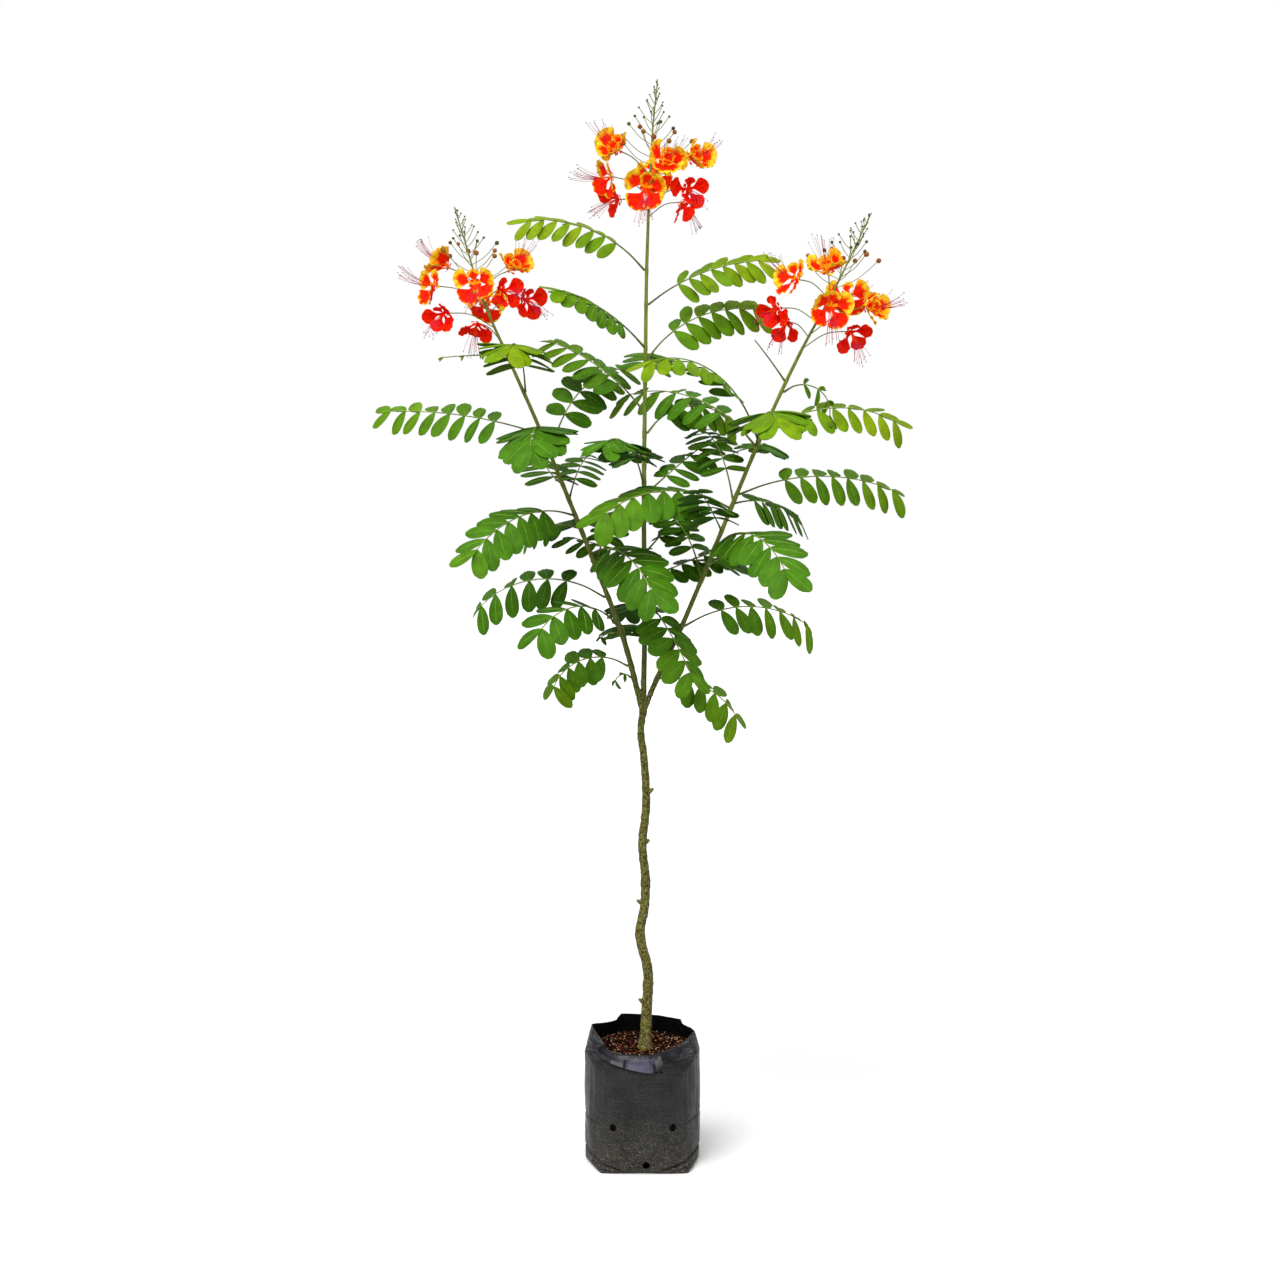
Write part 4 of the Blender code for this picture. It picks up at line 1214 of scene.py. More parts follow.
# %% Leaf rule
def leaf_course(leaf):
    """The points of a leaf's stalk, from its foot beside the stem to its tip."""
    centre, along = stem_at(leaf.stem, leaf.height)
    start = heading_vector(leaf.heading, leaf.rise)
    out = (start - along * start.dot(along)).normalized()
    lean = math.sqrt(max(0, 1 - start.dot(out) ** 2))
    foot = centre + out * (stem_radius(leaf.stem, leaf.height) + GAP + STALK_BASE_RADIUS * lean)
    path = [foot]
    stride = (leaf.length - leaf.leaflet * TIP_OVERHANG) / STALK_STEPS
    for step in range(STALK_STEPS):
        rise = leaf.rise - leaf.bow * (step + 0.5) / STALK_STEPS
        path.append(path[-1] + heading_vector(leaf.heading, rise) * stride)
    return path


def sideways(leaf):
    """1 for a leaf that points left or right, 0 for one that points at the camera or away from it."""
    return abs(math.cos(math.radians(leaf.heading)))


def leaf_frame(leaf, path, share):
    """Place, direction and upper side of the blade at a share of the leaf's length."""
    reach = share * STALK_STEPS
    step = min(int(reach), STALK_STEPS - 1)
    place = path[step].lerp(path[step + 1], reach - step)
    rise = min(leaf.rise - leaf.bow * share, blend(BLADE_RISE_MOST, sideways(leaf)))
    along = heading_vector(leaf.heading, rise)
    right = along.cross(UP).normalized()
    upper = right.cross(along)
    tilt = math.radians(leaf.roll)
    upper = (upper * math.cos(tilt) + right * math.sin(tilt)).normalized()
    return place, along, upper


def stalk_radius(share):
    """A leaf stalk's radius at a share of its length."""
    return blend((STALK_BASE_RADIUS, STALK_TIP_RADIUS), share)


def leaflet_matrix(leaf, path, pair, side):
    """The frame of one leaflet: X along it, Z on its upper side, scaled to its length."""
    order = pair / max(1, leaf.pairs - 1)
    share = blend((STALK_SHARE, LAST_PAIR_AT), (pair + PAIR_LEAD) / (leaf.pairs - 1 + PAIR_LEAD))
    place, along, upper = leaf_frame(leaf, path, share)
    across = along.cross(upper) * side
    last_sweep = blend((FRONT_LAST_SWEEP, LEAFLET_SWEEP[1]), sideways(leaf))
    lean = YOUNG_LEAN * ease(*YOUNG_HEIGHTS, leaf.height) * sideways(leaf)
    sweep = math.radians(blend((LEAFLET_SWEEP[0], last_sweep), order ** 2) + lean)
    out = across * math.cos(sweep) + along * math.sin(sweep)
    most_hang = blend(LEAFLET_HANG_SIDE, ease(-0.3, 0.3, across.y))
    hang = math.radians(blend((LEAFLET_HANG_FRONT, most_hang), sideways(leaf)))
    axis = out * math.cos(hang) - upper * math.sin(hang)
    normal = upper * math.cos(hang) + out * math.sin(hang)
    bulge = math.sin(math.pi * blend(LEAFLET_SIZE_ARC, order))
    ends = blend((LEAFLET_FIRST_SIZE, blend((FRONT_LAST_SIZE, LEAFLET_LAST_SIZE), sideways(leaf))), order)
    size = leaf.leaflet * (ends + (1 - ends) * bulge)
    turn = Matrix((axis, normal.cross(axis), normal)).transposed().to_4x4()
    sunk = place + axis * stalk_radius(share) * ROOT_SHARE
    return Matrix.Translation(sunk) @ turn @ Matrix.Scale(size, 4)


def leaf_names():
    """The node name of every leaf: its stem and its number on that stem, from the top down."""
    counts = dict.fromkeys(STEMS, 0)
    names = []
    for leaf in LEAVES:
        counts[leaf.stem] += 1
        names.append(f"leaf_{leaf.stem}_{counts[leaf.stem]:02d}")
    return names


print(len(LEAVES), "leaves")

# %% [markdown]
# ## One leaflet
# The blade is a small grid. Its columns are narrowed towards both ends, the
# middle row is pressed down into a groove, the edges droop, and the blade
# arches towards its tip. Solidify gives it an underside, which is painted
# paler. Three arches and a folded young form keep the copies from looking
# stamped.

# %% Leaflet forms
# How wide the blade is at each column, from foot to tip.
LEAFLET_COLUMNS = (0.12, 0.46, 0.71, 0.87, 0.97, 1.0, 0.96, 0.81, 0.34)
LEAFLET_HALF_WIDTH = 0.29
LEAFLET_GROOVE = 0.035
LEAFLET_ARCHES = (0.06, 0.13, 0.21)
LEAFLET_DROOPS = (0.02, 0.045, 0.03)


def model_leaflet(name, arch, droop, half_width=LEAFLET_HALF_WIDTH):
    """A blade one unit long, with a groove, drooping edges and an arch."""
    columns = len(LEAFLET_COLUMNS) - 1
    leaflet = unit_grid(name, columns, 4)
    with editing(leaflet):
        pick(leaflet, lambda co: abs(co.y) < 0.1)
        bpy.ops.transform.translate(value=(0, 0, -LEAFLET_GROOVE))
        pick(leaflet, lambda co: abs(co.y) > 0.4)
        bpy.ops.transform.translate(value=(0, 0, -droop))
        for number, width in enumerate(LEAFLET_COLUMNS):
            at = number / columns
            rise = arch * (0.10 * math.sin(math.pi * at) - at * at)
            narrowing = (1, 2 * half_width * width, 0.3 + 0.7 * width)
            pick(leaflet, lambda co: abs(co.x - at) < 0.2 / columns)
            bpy.ops.transform.resize(value=narrowing, center_override=(at, 0, 0))
            bpy.ops.transform.translate(value=(-0.02 * at, 0, rise))
        pick(leaflet, lambda co: co.x > 0.96 and abs(co.y) < 0.05)
        bpy.ops.transform.translate(value=(0.02, 0, 0))
    for side in ("upper", "under"):
        leaflet.data.materials.append(bpy.data.materials.new(side))
    modify(leaflet, "SOLIDIFY", thickness=0.016, offset=-1, material_offset=1, material_offset_rim=0)
    return Shape(leaflet)


LEAFLETS = [model_leaflet("leaflet", *form) for form in zip(LEAFLET_ARCHES, LEAFLET_DROOPS)]
YOUNG_LEAFLET = model_leaflet("young_leaflet", 0.12, -0.16, 0.17)
print("leaflet faces:", [len(shape.sizes) for shape in LEAFLETS])


# %% [markdown]
# ## Growing the leaves
# For each row the stalk is drawn from inside the stem, with a swollen foot.
# Each leaflet takes its pair's place, a small seeded turn and one of the
# forms, and stays inside the CAD's box. The row's tone says how deep its
# green is: yellow green at the young tips, deep green low down and inside.
# The deep green low down, inside and on leaves that face away is partly
# painted shade.

# %% Leaf stalks
STALK_PIECES = 26
STALK_SLIM = 0.86
FOOT_SWELL = 0.55
FOOT_SWELL_STEPS = 1.6


def stalk_and_rachis(leaf, path):
    """Points and radii of a leaf's bare stalk, and of its rachis if it has leaflets."""
    centre, _ = stem_at(leaf.stem, leaf.height)
    fine = smooth_path(path, leaf.length / STALK_PIECES)
    radii = []
    for step in range(len(fine)):
        radius = stalk_radius(step / (len(fine) - 1)) * STALK_SLIM
        radii.append(radius * (1 + FOOT_SWELL * math.exp(-step / FOOT_SWELL_STEPS)))
    bare = round(STALK_SHARE * (len(fine) - 1)) if leaf.pairs else len(fine) - 1
    stalk = ([centre.lerp(fine[0], 0.4), *fine[:bare + 1]], [radii[0], *radii[:bare + 1]])
    return stalk, (fine[bare:], radii[bare:])


leaf_paths = [leaf_course(leaf) for leaf in LEAVES]
stalk_lines, rachis_lines = [], []
for leaf, path in zip(LEAVES, leaf_paths):
    stalk, rachis = stalk_and_rachis(leaf, path)
    stalk_lines.append(stalk)
    if leaf.pairs:
        rachis_lines.append(rachis)
print(len(stalk_lines), "stalks,", len(rachis_lines), "with leaflets")

# %% Leaflets
# The greens from young to old, and how many steps of them there are finishes for. The deeper greens also
# stand for painted shade on low, inner and far leaves.
LEAF_COLOURS = ((128, 156, 8), (98, 142, 12), (72, 122, 20), (56, 100, 8), (42, 78, 6))
LEAF_STEPS = 11
DEEPEST = len(LEAF_COLOURS) - 1
# Leaflets shorter than this are still folded.
FOLDED_BELOW = 0.021
# Leaflets of the palest leaves are narrower, and from this tone on they are full.
NARROWEST, FULL_TONE = 0.70, 1.7
# Standard deviations of a leaflet's turn about its own axes, in degrees.
LOOSE_TURNS = (("X", 6), ("Y", 3), ("Z", 3))


def inside_box(matrix, arch, margin=0.001):
    """Whether a leaflet's arched tip and sides stay inside the CAD's box."""
    for along, across in ((1.0, 0), (1.0, 0.1), (1.0, -0.1), (0.7, 0.3), (0.7, -0.3)):
        spot = matrix @ Vector((along, across, -arch * along * along - 0.05 * abs(across)))
        if any(not low + margin < value < high - margin for value, low, high in zip(spot, *CAD_BOX)):
            return False
    return True


def loosened(matrix, arch, chance, width):
    """A leaflet's frame with a small turn and growth of its own."""
    turn = Matrix.Identity(4)
    for axis, degrees in LOOSE_TURNS:
        turn @= Matrix.Rotation(math.radians(chance.gauss(0, degrees)), 4, axis)
    growth = Matrix.Diagonal((chance.uniform(1.0, 1.07), width * chance.uniform(0.94, 1.06), 1, 1))
    grown = matrix @ turn @ growth
    while not inside_box(grown, arch):
        grown = grown @ Matrix.Scale(0.95, 4)
    return grown


def leaflet_copy(leaf, path, pair, side, chance):
    """One leaflet: its form, its matrix and the numbers of its upper and lower finish."""
    width = blend((NARROWEST, 1.0), min(1, leaf.tone / FULL_TONE))
    number = chance.randrange(len(LEAFLETS))
    form = YOUNG_LEAFLET if leaf.leaflet < FOLDED_BELOW else LEAFLETS[number]
    matrix = loosened(leaflet_matrix(leaf, path, pair, side), LEAFLET_ARCHES[number], chance, width)
    # Tones are deeper near the leaf's foot.
    tone = leaf.tone + 0.45 - 1.1 * pair / leaf.pairs + chance.gauss(0, 0.14)
    shade = round(min(DEEPEST, max(0, tone)) / DEEPEST * (LEAF_STEPS - 1))
    return form, matrix, [2 * shade, 2 * shade + 1]


chance = Random(20)
leaf_copies = {name: [] for name in STEMS}
for leaf, path in zip(LEAVES, leaf_paths):
    for pair in range(leaf.pairs):
        for side in (-1, 1):
            leaf_copies[leaf.stem].append(leaflet_copy(leaf, path, pair, side, chance))
print(sum(len(copies) for copies in leaf_copies.values()), "leaflets")

# %% [markdown]
# ## Leaf finishes
# A leaflet is smooth and slightly waxy above, matt and greyer below. Each
# tone is a plain green that soft noise moves a little, so that no two blades
# match, and a fine bump stands for the net of veins.


# %% Leaf finishes
def leaf_finish(name, colour, under):
    """The upper or lower skin of a leaflet."""
    leaf = Finish(name, 0.62 if under else 0.50, specular_ior_level=0.04 if under else 0.07)
    leaf.toned(lit(colour, 0.90), lit(colour, 1.08), 70, 3, 0.32, 0.68)
    return leaf.emboss(leaf.noise(900, 2), 0.0002)


leaf_finishes = []
for step in range(LEAF_STEPS):
    reach = step / (LEAF_STEPS - 1) * DEEPEST
    low = min(int(reach), DEEPEST - 1)
    red, green, blue = (blend(pair, reach - low) for pair in zip(LEAF_COLOURS[low], LEAF_COLOURS[low + 1]))
    paler = (red * 0.94 + 6, green * 0.92 + 6, blue + 18)
    leaf_finishes.append(leaf_finish(f"leaf_{step}", (red, green, blue), False))
    leaf_finishes.append(leaf_finish(f"leaf_under_{step}", paler, True))

for name in STEMS:
    foliage = smooth(join_copies("leaflets_" + name, leaf_copies[name], leaf_finishes), 50)
    dress(foliage, "leaf", [node for node in leaf_names() if name in node])

# %% [markdown]
# ## Midribs
# Each leaflet has a paler rib in its groove. The rib is a slim strip of its
# own that tapers to the tip. It is bent to the arch of the form that it lies
# on, and laid with that leaflet's matrix. A painted line would need a map
# for every blade, and the strip also catches the light.

# %% Midribs
RIB_LIFT = -0.030
# How wide the rib is at each column, from foot to tip.
RIB_WIDTHS = (0.024, 0.022, 0.020, 0.017, 0.014, 0.011, 0.008)


def model_midrib():
    """The rib as a flat strip one unit long, raised along its middle."""
    columns = len(RIB_WIDTHS) - 1
    rib = unit_grid("midrib", columns, 2)
    with editing(rib):
        pick(rib, lambda co: abs(co.y) < 0.1)
        bpy.ops.transform.translate(value=(0, 0, 0.012))
        for number, width in enumerate(RIB_WIDTHS):
            at = number / columns
            pick(rib, lambda co: abs(co.x - at) < 0.03)
            bpy.ops.transform.resize(value=(1, width, 1), center_override=(at, 0, 0))
    return Shape(rib)


def bent_rib(rib, arch):
    """The rib bent to a leaflet's arch."""
    along = rib.points[:, 0]
    lift = arch * (0.10 * np.sin(np.pi * along) - along * along)
    return rib.bent(rib.points * (0.97, 1, 1) + np.stack([0 * along, 0 * along, lift + RIB_LIFT], 1))


flat_rib = model_midrib()
ribs = {form: bent_rib(flat_rib, arch) for form, arch in zip(LEAFLETS, LEAFLET_ARCHES)}
rib_copies = []
for name in STEMS:
    rib_copies += [(ribs[form], matrix, [0]) for form, matrix, _ in leaf_copies[name] if form in ribs]
rib_finish = Finish("midrib", 0.55, specular_ior_level=0.2)
rib_finish.toned((116, 156, 50), (146, 182, 80), 300, 2, 0.3, 0.7)
dress(smooth(join_copies("midribs", rib_copies, [rib_finish]), 60), "leaf", leaf_names())


# %% [markdown]
# ## Bark and stem finishes
# The trunk is olive grey with darker cracks and pale corky spots, and greener
# towards the fork. The stems are green and freshest towards the top. The
# bare leaf stalks are olive, and the rachis between the leaflets is paler.
# Noise stretched along the height makes streaks, and noise pressed flat makes
# the rings of old scars.


# %% Wood finishes
def bark_finish():
    """The trunk's cracked young bark."""
    bark = Finish("young_bark", 0.8, specular_ior_level=0.2)
    grain = bark.noise(1, 5, 0.75, bark.stretched(520, 520, 330)).above(0.40, 0.60)
    rings = bark.noise(1, 2, 0.5, bark.stretched(22, 22, 190)).above(0.59, 0.66)
    patches = bark.noise(70, 3).above(0.4, 0.62)
    olive = bark.mix(grain, shown(34, 28, 6), shown(152, 142, 76))
    green = bark.mix(grain, shown(44, 48, 8), shown(140, 148, 62))
    base = bark.mix(patches * 0.5 + bark.height().above(0.40, 0.62) * 0.5, olive, green)
    corky = bark.noise(1, 1, 0.5, bark.stretched(300, 300, 520)).above(0.63, 0.69)
    base = bark.mix(rings * 0.65, base, shown(46, 38, 18))
    bark.paint(bark.mix(corky * 0.7, base, shown(186, 178, 134)))
    return bark.emboss(grain - rings * 0.8, 0.0007)


def stem_finish():
    """The green skin of the three stems."""
    stem = Finish("green_stem", 0.55, specular_ior_level=0.25)
    streaks = stem.noise(1, 3, 0.6, stem.stretched(420, 420, 90)).above(0.3, 0.7)
    low = stem.mix(streaks, shown(66, 74, 18), shown(110, 118, 48))
    high = stem.mix(streaks, shown(92, 110, 22), shown(138, 152, 58))
    stem.paint(stem.mix(stem.height().above(0.66, 0.95), low, high))
    return stem.emboss(streaks, 0.0003)


def stalk_finish(name, dark, light):
    """The smooth skin of a fine stalk, thread or bud."""
    stalk = Finish(name, 0.55, specular_ior_level=0.25).toned(dark, light, 180, 2, 0.35, 0.65)
    return stalk.emboss(stalk.noise(800, 2), 0.0002)


dress(trunk, "bark", ["trunk"], bark_finish())
green_stem = stem_finish()
for name in STEMS:
    feet = [leaf.height for leaf in LEAVES if leaf.stem == name]
    dress(model_stem(name, feet), "stem", ["bough_" + name], green_stem)
stalks = strands("leaf_stalks", stalk_lines, 6)
dress(stalks, "leaf", leaf_names(), stalk_finish("leaf_stalk", (74, 84, 26), (108, 124, 46)))
rachises = strands("leaf_rachises", rachis_lines, 6)
dress(rachises, "leaf", leaf_names(), stalk_finish("leaf_rachis", (104, 128, 46), (150, 172, 84)))

# %% [markdown]
# ## Flowers
# Each head has eight or nine flowers round its stem, and a spiral of buds
# above them. A flower has four broad ruffled petals and a small upper one,
# each on a narrow claw, and ten long red filaments and a style that curve out
# of its middle. Young flowers are yellow with a red heart, open ones are red
# with a yellow hem, and old ones are red all over.

# %% Flower rows
# heading, reach and height: where the flower's face is. lift: how steeply it looks up. turn: how far it
# looks aside of its heading.
Flower = namedtuple("Flower", "heading reach height lift turn age")
FLOWERS = {
    "left": (
        Flower(183, 0.060, 1.133, 8, 28, "open"),
        Flower(142, 0.046, 1.160, 34, 40, "young"),
        Flower(-90, 0.060, 1.133, 14, 0, "open"),
        Flower(-17, 0.055, 1.155, 34, -30, "young"),
        Flower(-52, 0.056, 1.124, 4, 10, "old"),
        Flower(8, 0.058, 1.114, -12, -56, "old"),
        Flower(206, 0.066, 1.094, -22, 34, "old"),
        Flower(-118, 0.046, 1.078, -62, 0, "old"),
        Flower(92, 0.056, 1.112, 0, 0, "open"),
    ),
    "middle": (
        Flower(215, 0.054, 1.298, 22, 20, "young"),
        Flower(-71, 0.058, 1.281, 18, 0, "young"),
        Flower(-21, 0.057, 1.287, 16, -28, "young"),
        Flower(-94, 0.066, 1.247, -4, 0, "open"),
        Flower(171, 0.054, 1.266, -6, 30, "open"),
        Flower(145, 0.052, 1.239, -12, 60, "old"),
        Flower(-33, 0.058, 1.247, -8, -34, "old"),
        Flower(25, 0.050, 1.232, -36, 0, "old"),
        Flower(83, 0.050, 1.274, 12, 0, "open"),
    ),
    "right": (
        Flower(190, 0.060, 1.136, 18, 30, "open"),
        Flower(-118, 0.050, 1.145, 42, 10, "young"),
        Flower(-87, 0.062, 1.099, -4, 0, "open"),
        Flower(-10, 0.055, 1.101, 0, -26, "young"),
        Flower(178, 0.060, 1.098, -14, 48, "old"),
        Flower(144, 0.044, 1.080, -36, 80, "old"),
        Flower(-37, 0.062, 1.066, -44, -16, "old"),
        Flower(62, 0.050, 1.116, 6, 0, "open"),
    ),
}
FLOWER_CUP = 0.009
PEDICEL_RISE = {"young": 0.034, "open": 0.026, "old": 0.016}
PEDICEL_RADIUS = 0.0008
PEDICEL_BOW = 0.12


def flower_frame(stem, flower):
    """The face and facing of one flower, and its stalk's points, by the CAD's rule."""
    centre, _ = stem_at(stem, flower.height - PEDICEL_RISE[flower.age])
    axis, _ = stem_at(stem, flower.height)
    face = Vector((axis.x, axis.y, flower.height)) + heading_vector(flower.heading) * flower.reach
    facing = heading_vector(flower.heading + flower.turn, flower.lift)
    back = face - facing * FLOWER_CUP * 0.7
    bend = centre.lerp(back, 0.5) + UP * flower.reach * PEDICEL_BOW
    return face, facing, [centre, bend, back]


print(sum(len(flowers) for flowers in FLOWERS.values()), "flowers")

# %% [markdown]
# ## Petals
# A petal is a flat grid that a function turns into a claw and a round blade:
# across is scaled by the petal's outline, and a wave that grows towards the
# hem ruffles it. Six forms and a coarse sepal serve for all flowers. Young
# petals are broad, cupped and ruffled. Old ones are narrow and nearly plain.

# %% Petal form
PETAL_GRID = (13, 10)
SEPAL_GRID = (6, 4)
# The shares of a petal's length where its claw ends and where its blade is broadest.
CLAW, BROADEST = 0.26, 0.68
CLAW_HALF_WIDTH = 0.055
# For each age, the breadth, ruffle and cup of its two forms.
PETAL_FORMS = {
    "young": ((0.52, 0.060, 0.18), (0.50, 0.050, 0.30)),
    "open": ((0.49, 0.045, 0.04), (0.46, 0.050, 0.14)),
    "old": ((0.42, 0.030, 0.02), (0.37, 0.036, 0.16)),
}


def petal_place(place, breadth, ruffle, cup):
    """Turns the grid into a petal: a narrow claw that widens into a round blade with a ruffled hem."""
    along, across = place.x, place.y * 2
    widening = ease(CLAW, BROADEST, along)
    rounding = math.sqrt(1 - (max(0.0, along - BROADEST) / 0.40) ** 2)
    half = CLAW_HALF_WIDTH + (breadth - CLAW_HALF_WIDTH) * widening * rounding
    x = along - 0.10 * across * across * ease(0.55, 1.0, along)
    y = half * across
    hem = ease(0.45, 1.0, max(abs(across), (along - 0.35) / 0.65)) * ease(0.3, 0.6, along)
    wave = math.sin(9 * math.atan2(y, x - 0.55) + 1.3) + 0.4 * math.sin(19 * math.atan2(y, x - 0.5))
    z = cup * (x * x) + ruffle * hem * wave + 0.14 * y * y - 0.04 * math.exp(-(across / 0.3) ** 2) * along
    return Vector((x, y, z))


def model_petal(breadth, ruffle, cup, grid=PETAL_GRID):
    """A thin petal one unit long."""
    petal = reshape(unit_grid("petal", *grid), lambda co: petal_place(co, breadth, ruffle, cup))
    return Shape(modify(petal, "SOLIDIFY", thickness=0.012, offset=0))


PETALS = {age: [model_petal(*form) for form in forms] for age, forms in PETAL_FORMS.items()}
SEPAL = model_petal(*PETAL_FORMS["old"][0], SEPAL_GRID)
print("petal faces", len(PETALS["open"][0].sizes))

# %% [markdown]
# ## Petal colours
# Each face of a petal takes one of five tones, in bands that run along its
# hem. Noise shifts the bands' edges into streaks that follow the petal, so
# yellow licks into the red as flames do. Petals let light through: a faint
# warm glow stands for that, which is simpler than a translucent shader.

# %% Petal colours
BLOOM_COLOURS = {
    "deep": (232, 14, 2),
    "red": (250, 34, 4),
    "flame": (253, 92, 8),
    "amber": (254, 156, 14),
    "yellow": (255, 204, 44),
}
# For each age: how far in from the hem each band reaches, and its tone's number, from the hem inwards.
BANDS = {
    "young": ((0.33, 4), (0.46, 3), (0.54, 2), (9, 1)),
    "open": ((0.04, 4), (0.10, 3), (0.17, 2), (0.80, 1), (9, 0)),
    "old": ((0.02, 2), (0.62, 1), (9, 0)),
}


def petal_tones(shape, age, chance):
    """A tone for each face of one petal, in bands that follow its hem, broken up by streaks."""
    seed = chance.uniform(0, 40)
    tones = []
    for x, y, z in shape.middles:
        angle = math.atan2(y, x)
        outward = math.hypot((x - 0.52) / 0.50, y / 0.50)
        streak = 0.20 * noise.noise(Vector((angle * 9, seed, x * 1.5)))
        streak += 0.10 * noise.noise(Vector((x * 6, y * 6, seed)))
        inward = 1 - outward + streak
        if x < 0.3:
            inward = 0.9 if age == "old" else 0.36
        tones.append(next(tone for reach, tone in BANDS[age] if inward < reach))
    return tones


def petal_finish(name, colour):
    """A matt petal skin with a faint warm glow."""
    warm = shown(colour[0], colour[1] * 0.8, colour[2] * 0.5)
    petal = Finish(name, 0.6, specular_ior_level=0.04, emission_color=warm, emission_strength=0.16)
    petal.toned(lit(colour, 0.90), lit(colour, 1.06, 6), 260, 3, 0.35, 0.65)
    return petal.emboss(petal.noise(600, 2), 0.0003)


bloom_finishes = [petal_finish("petal_" + tone, colour) for tone, colour in BLOOM_COLOURS.items()]
print(len(bloom_finishes), "petal tones")

# %% [markdown]
# ## Growing the flowers
# Petals stand round the flower's face like spokes, steepest while it is
# young. The topmost is the small one. Sepals lie flatter, just behind them,
# and a young flower still has four small petals folded over its heart.
# Seeded chance turns, tilts and scales each one, as in the real heads.

# %% Flowers
PETAL_COUNT = 5
TOP_PETAL_SIZE = 0.66
# For each age, how steeply petals stand up from the flower's face, and how long they are.
UPRIGHT = {"young": 34, "open": 20, "old": 26}
PETAL_LENGTH = {"young": 0.0322, "open": 0.0312, "old": 0.0285}
SEPAL_LENGTH, SEPAL_WIDTH = 0.0085, 0.7
SEPAL_TURN, SEPAL_UPRIGHT, SEPAL_BACK = 0.6, 14, 0.0016
HEART_PETALS, HEART_LENGTH, HEART_UPRIGHT = 4, 0.017, 58


def turned_frame(place, facing):
    """A frame at a place whose Z looks along the facing and whose Y is as upright as it can be."""
    side = UP.cross(facing)
    side = side.normalized() if side.length > 1e-3 else Vector((1, 0, 0))
    turn = Matrix((side, facing.cross(side), facing)).transposed().to_4x4()
    return Matrix.Translation(place) @ turn


def spoke(turn, upright):
    """A turn round the flower's axis and up from its face."""
    return Matrix.Rotation(turn, 4, "Z") @ Matrix.Rotation(-math.radians(upright), 4, "Y")


def grow_petals(flower, base, spin, chance):
    """The outer petals of one flower, and the sepals behind them."""
    petals, sepals = [], []
    for number in range(PETAL_COUNT):
        turn = math.pi / 2 + number * math.tau / PETAL_COUNT + spin + chance.gauss(0, 0.07)
        upright = UPRIGHT[flower.age] + chance.gauss(0, 7)
        small = TOP_PETAL_SIZE if number == 0 else 1
        length = PETAL_LENGTH[flower.age] * small * chance.uniform(0.93, 1.03)
        roll = Matrix.Rotation(chance.gauss(0, 0.22), 4, "X")
        shape = chance.choice(PETALS[flower.age])
        # The three upper petals of an open flower are still yellow.
        age = "young" if number in (0, 1, 4) and flower.age == "open" else flower.age
        tones = petal_tones(shape, age, chance)
        petals.append((shape, base @ spoke(turn, upright) @ roll @ Matrix.Scale(length, 4), tones))
        size = Matrix.Diagonal((SEPAL_LENGTH, SEPAL_LENGTH * SEPAL_WIDTH, SEPAL_LENGTH, 1))
        behind = base @ Matrix.Translation((0, 0, -SEPAL_BACK))
        sepals.append((SEPAL, behind @ spoke(turn + SEPAL_TURN, SEPAL_UPRIGHT) @ size, [0]))
    return petals, sepals


def grow_heart(base, spin, chance):
    """The small inner petals that a young flower still holds over its middle."""
    petals = []
    for number in range(HEART_PETALS):
        turn = spoke(number * math.tau / HEART_PETALS + spin, HEART_UPRIGHT)
        shape = PETALS["young"][number % 2]
        size = Matrix.Scale(HEART_LENGTH * chance.uniform(0.9, 1.1), 4)
        petals.append((shape, base @ turn @ size, petal_tones(shape, "young", chance)))
    return petals


# %% [markdown]
# ## Threads
# The filaments are long fine threads, orange red at the foot and crimson
# above, each with a dark anther at its tip. They rise from the middle in a
# fan and curl up. On old flowers, and on open ones that face the camera, they
# hang. Each thread is walked out step by step as its direction curls.

# %% Threads
THREADS = 11
THREAD_STEPS = 10
# Steps of a thread that are still orange red.
THREAD_FOOT = 4
THREAD_FAN = (-17, 17)
THREAD_LENGTH = 0.054
THREAD_RADIUS, THREAD_TAPER = 0.00030, 0.000009
OLD_THREAD_SHARE = 0.8
OPEN_HANG = 34


def grow_threads(flower, face, facing, chance):
    """The points of each thread of one flower, and the direction in which it ends."""
    side = facing.cross(UP).normalized()
    rise = side.cross(facing).normalized()
    opened = flower.age == "open"
    hanging = flower.age == "old" or (opened and facing.y < -0.7)
    threads = []
    for number in range(THREADS):
        fan = math.radians(blend(THREAD_FAN, number / (THREADS - 1)) + chance.gauss(0, 3))
        lift = math.radians(chance.uniform(-14, 5) - OPEN_HANG * hanging * opened)
        length = THREAD_LENGTH * chance.uniform(0.88, 1.04) * (1 if flower.age != "old" else OLD_THREAD_SHARE)
        way = (facing * math.cos(fan) + side * math.sin(fan)) * math.cos(lift) + rise * math.sin(lift)
        curl = math.radians(chance.uniform(22, 46)) * (-0.8 if hanging else 1)
        points, place = [], face - facing * FLOWER_CUP * 0.5
        for step in range(THREAD_STEPS + 1):
            points.append(place)
            bent = way * math.cos(curl * step / THREAD_STEPS) + rise * math.sin(curl * step / THREAD_STEPS)
            place = place + bent * length / THREAD_STEPS
        threads.append((points, bent))
    return threads


# %% [markdown]
# Chance is drawn flower by flower, so petals, sepals and threads grow in one
# loop. Each flower's base is a frame whose Z looks where the flower looks.

# %% Grow the heads
petal_copies = {name: [] for name in STEMS}
sepal_copies, pedicels, threads = [], [], []
chance = Random(5)
for stem, flowers in FLOWERS.items():
    for flower in flowers:
        face, facing, stalk = flower_frame(stem, flower)
        pedicels.append(smooth_path(stalk, 0.004))
        base = turned_frame(face - facing * FLOWER_CUP * 0.6, facing)
        spin = chance.uniform(-0.35, 0.35)
        petals, sepals = grow_petals(flower, base, spin, chance)
        petal_copies[stem] += petals
        sepal_copies += sepals
        if flower.age == "young":
            petal_copies[stem] += grow_heart(base, spin, chance)
        threads += grow_threads(flower, face, facing, chance)

